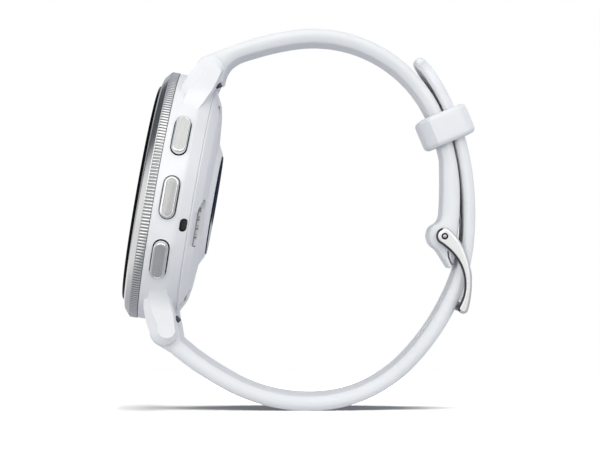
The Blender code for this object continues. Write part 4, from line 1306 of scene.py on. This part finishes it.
def make_tongue(hub):
    """The prong: an eye round the pin, then a bent finger with a rounded tip."""
    _, heading, arcs = TONGUE_PATH
    spots = steps(1.4, path_length(arcs), 0.3)
    outline = strip_outline(TONGUE_PATH, lambda s: TONGUE_HALF_HEIGHT, spots, TONGUE_HALF_HEIGHT, 8)
    outline += arc((0.0, 0.0), TONGUE_EYE_R, heading - 20, heading - 340, 40)
    levels = rounded_levels(-TONGUE_HALF_WIDTH, TONGUE_HALF_WIDTH, 0.18, 0.18)
    prong = stack("buckle_prong", outline, levels, "Y")
    cut(prong, rod("tongue_bore", PIN_R + 0.12, (0, -3, 0), 6, "Y"))
    settle(prong, hub, "buckle_tongue", "buckle_steel", ["buckle_tongue"])


# --- Studio -------------------------------------------------------------------------------


def floor_finish():
    """Pale where the camera sees it near the watch, and pure white further out.

    To all other rays it is an even glow, brighter beyond the front of the watch.
    """
    made = bpy.data.materials.new("floor")
    made.use_nodes = True
    made.node_tree.nodes.clear()
    nodes = Nodes(made.node_tree)
    to_camera = nodes.node("LightPath", out="Is Camera Ray")
    where = nodes.node("TexCoord", out="Object")
    x = nodes.split(where)["X"]
    in_front = nodes.node("MapRange", Value=x, From_Min=-0.07, From_Max=-0.12)
    glow = nodes.node("Emission", Color=nodes.mix(in_front, (0.50, 0.52, 0.56), (1.0, 1.0, 1.0)))
    lit = nodes.node("BsdfDiffuse", Color=(0.34, 0.34, 0.34, 1.0))
    near = nodes.node("MixShader", i0=to_camera, i1=glow, i2=lit)
    far = nodes.math("MULTIPLY", nodes.between(nodes.length(where), 0.06, 0.16), to_camera)
    white = nodes.node("Emission", Color=(1.0, 1.0, 1.0, 1.0))
    nodes.finish("OutputMaterial", nodes.node("MixShader", i0=far, i1=near, i2=white))
    return made


def make_floor():
    low, _ = cad_box
    mesh = bpy.data.meshes.new("floor")
    signs = ((-1, -1), (1, -1), (1, 1), (-1, 1))
    mesh.from_pydata([(x * FLOOR_REACH, y * FLOOR_REACH, low.z) for x, y in signs], [], [(0, 1, 2, 3)])
    floor = new_object("floor", mesh)
    mesh.materials.append(floor_finish())
    return floor


def make_lamp(floor):
    """A long lamp overhead that lights only the floor, for the shadow under the watch."""
    lamp = bpy.data.lights.new("overhead", "AREA")
    lamp.shape = "RECTANGLE"
    lamp.size, lamp.size_y = LAMP_SIZE
    lamp.energy = LAMP_WATTS
    made = new_object("overhead", lamp)
    made.location = LAMP_AT
    made.rotation_euler = (-Vector(LAMP_AT)).to_track_quat("-Z", "Y").to_euler()
    only_floor = bpy.data.collections.new("floor_light_receivers")
    only_floor.objects.link(floor)
    made.light_linking.receiver_collection = only_floor


STUDIO_GLOW = (0.62, 0.65, 0.71)

# Direction, angles in degrees where the patch is full and where it ends, and its brightness
STUDIO_PATCHES = (
    ((0.0, -1.0, 0.0), 15, 75, (2.2, 2.17, 2.12)),
    ((-1.0, 0.1, -0.1), 14, 40, (1.10, 1.10, 1.10)),
    ((-0.6, 0.62, 0.5), 18, 32, (0.10, 0.105, 0.115)),
    ((0.15, -0.5, 0.85), 10, 30, (1.25, 1.25, 1.23)),
    ((0.9, -0.5, 0.1), 5, 14, (0.10, 0.10, 0.11)),
    ((0.0, 1.0, 0.0), 5, 15, (0.02, 0.03, 0.06)),
    ((0.0, -1.0, 0.02), 6, 14, (0.66, 0.66, 0.66)),
)


def make_world():
    """White to the camera; to everything else a studio that is brightest behind the camera."""
    world = bpy.data.worlds.new("studio")
    bpy.context.scene.world = world
    world.use_nodes = True
    world.node_tree.nodes.clear()
    nodes = Nodes(world.node_tree)
    coords = nodes.node("TexCoord", out="Generated")
    colour = STUDIO_GLOW
    for direction, inner, outer, tone in STUDIO_PATCHES:
        towards = {"i0": coords, "i1": Vector(direction).normalized()}
        dot = nodes.node("VectorMath", out="Value", settings={"operation": "DOT_PRODUCT"}, **towards)
        edge, full = math.cos(math.radians(outer)), math.cos(math.radians(inner))
        colour = nodes.mix(nodes.between(dot, edge, full), colour, tone)
    colour = nodes.mix(nodes.node("LightPath", out="Is Camera Ray"), colour, (1.0, 1.0, 1.0))
    nodes.finish("OutputWorld", nodes.node("Background", Color=colour))


def make_camera():
    camera = new_object("camera", bpy.data.cameras.new("camera"))
    camera.location = Vector(CAMERA_AT) * MM
    camera.rotation_euler = (math.radians(90), 0, 0)
    camera.data.lens = CAMERA_LENS
    camera.data.sensor_width = 36.0
    camera.data.clip_start = 0.01
    camera.data.clip_end = 20.0
    bpy.context.scene.camera = camera


dress_cad_nodes()
make_case()
make_bezel()
make_glass()
make_back()
make_window()
for button in BUTTONS:
    make_button(button)
make_levers()
make_spring("top")
make_spring("bottom")
make_band_upper()
make_band_tail()
make_keeper()
make_buckle()
make_world()
make_lamp(make_floor())
make_camera()
bpy.context.scene.view_settings.view_transform = "Standard"
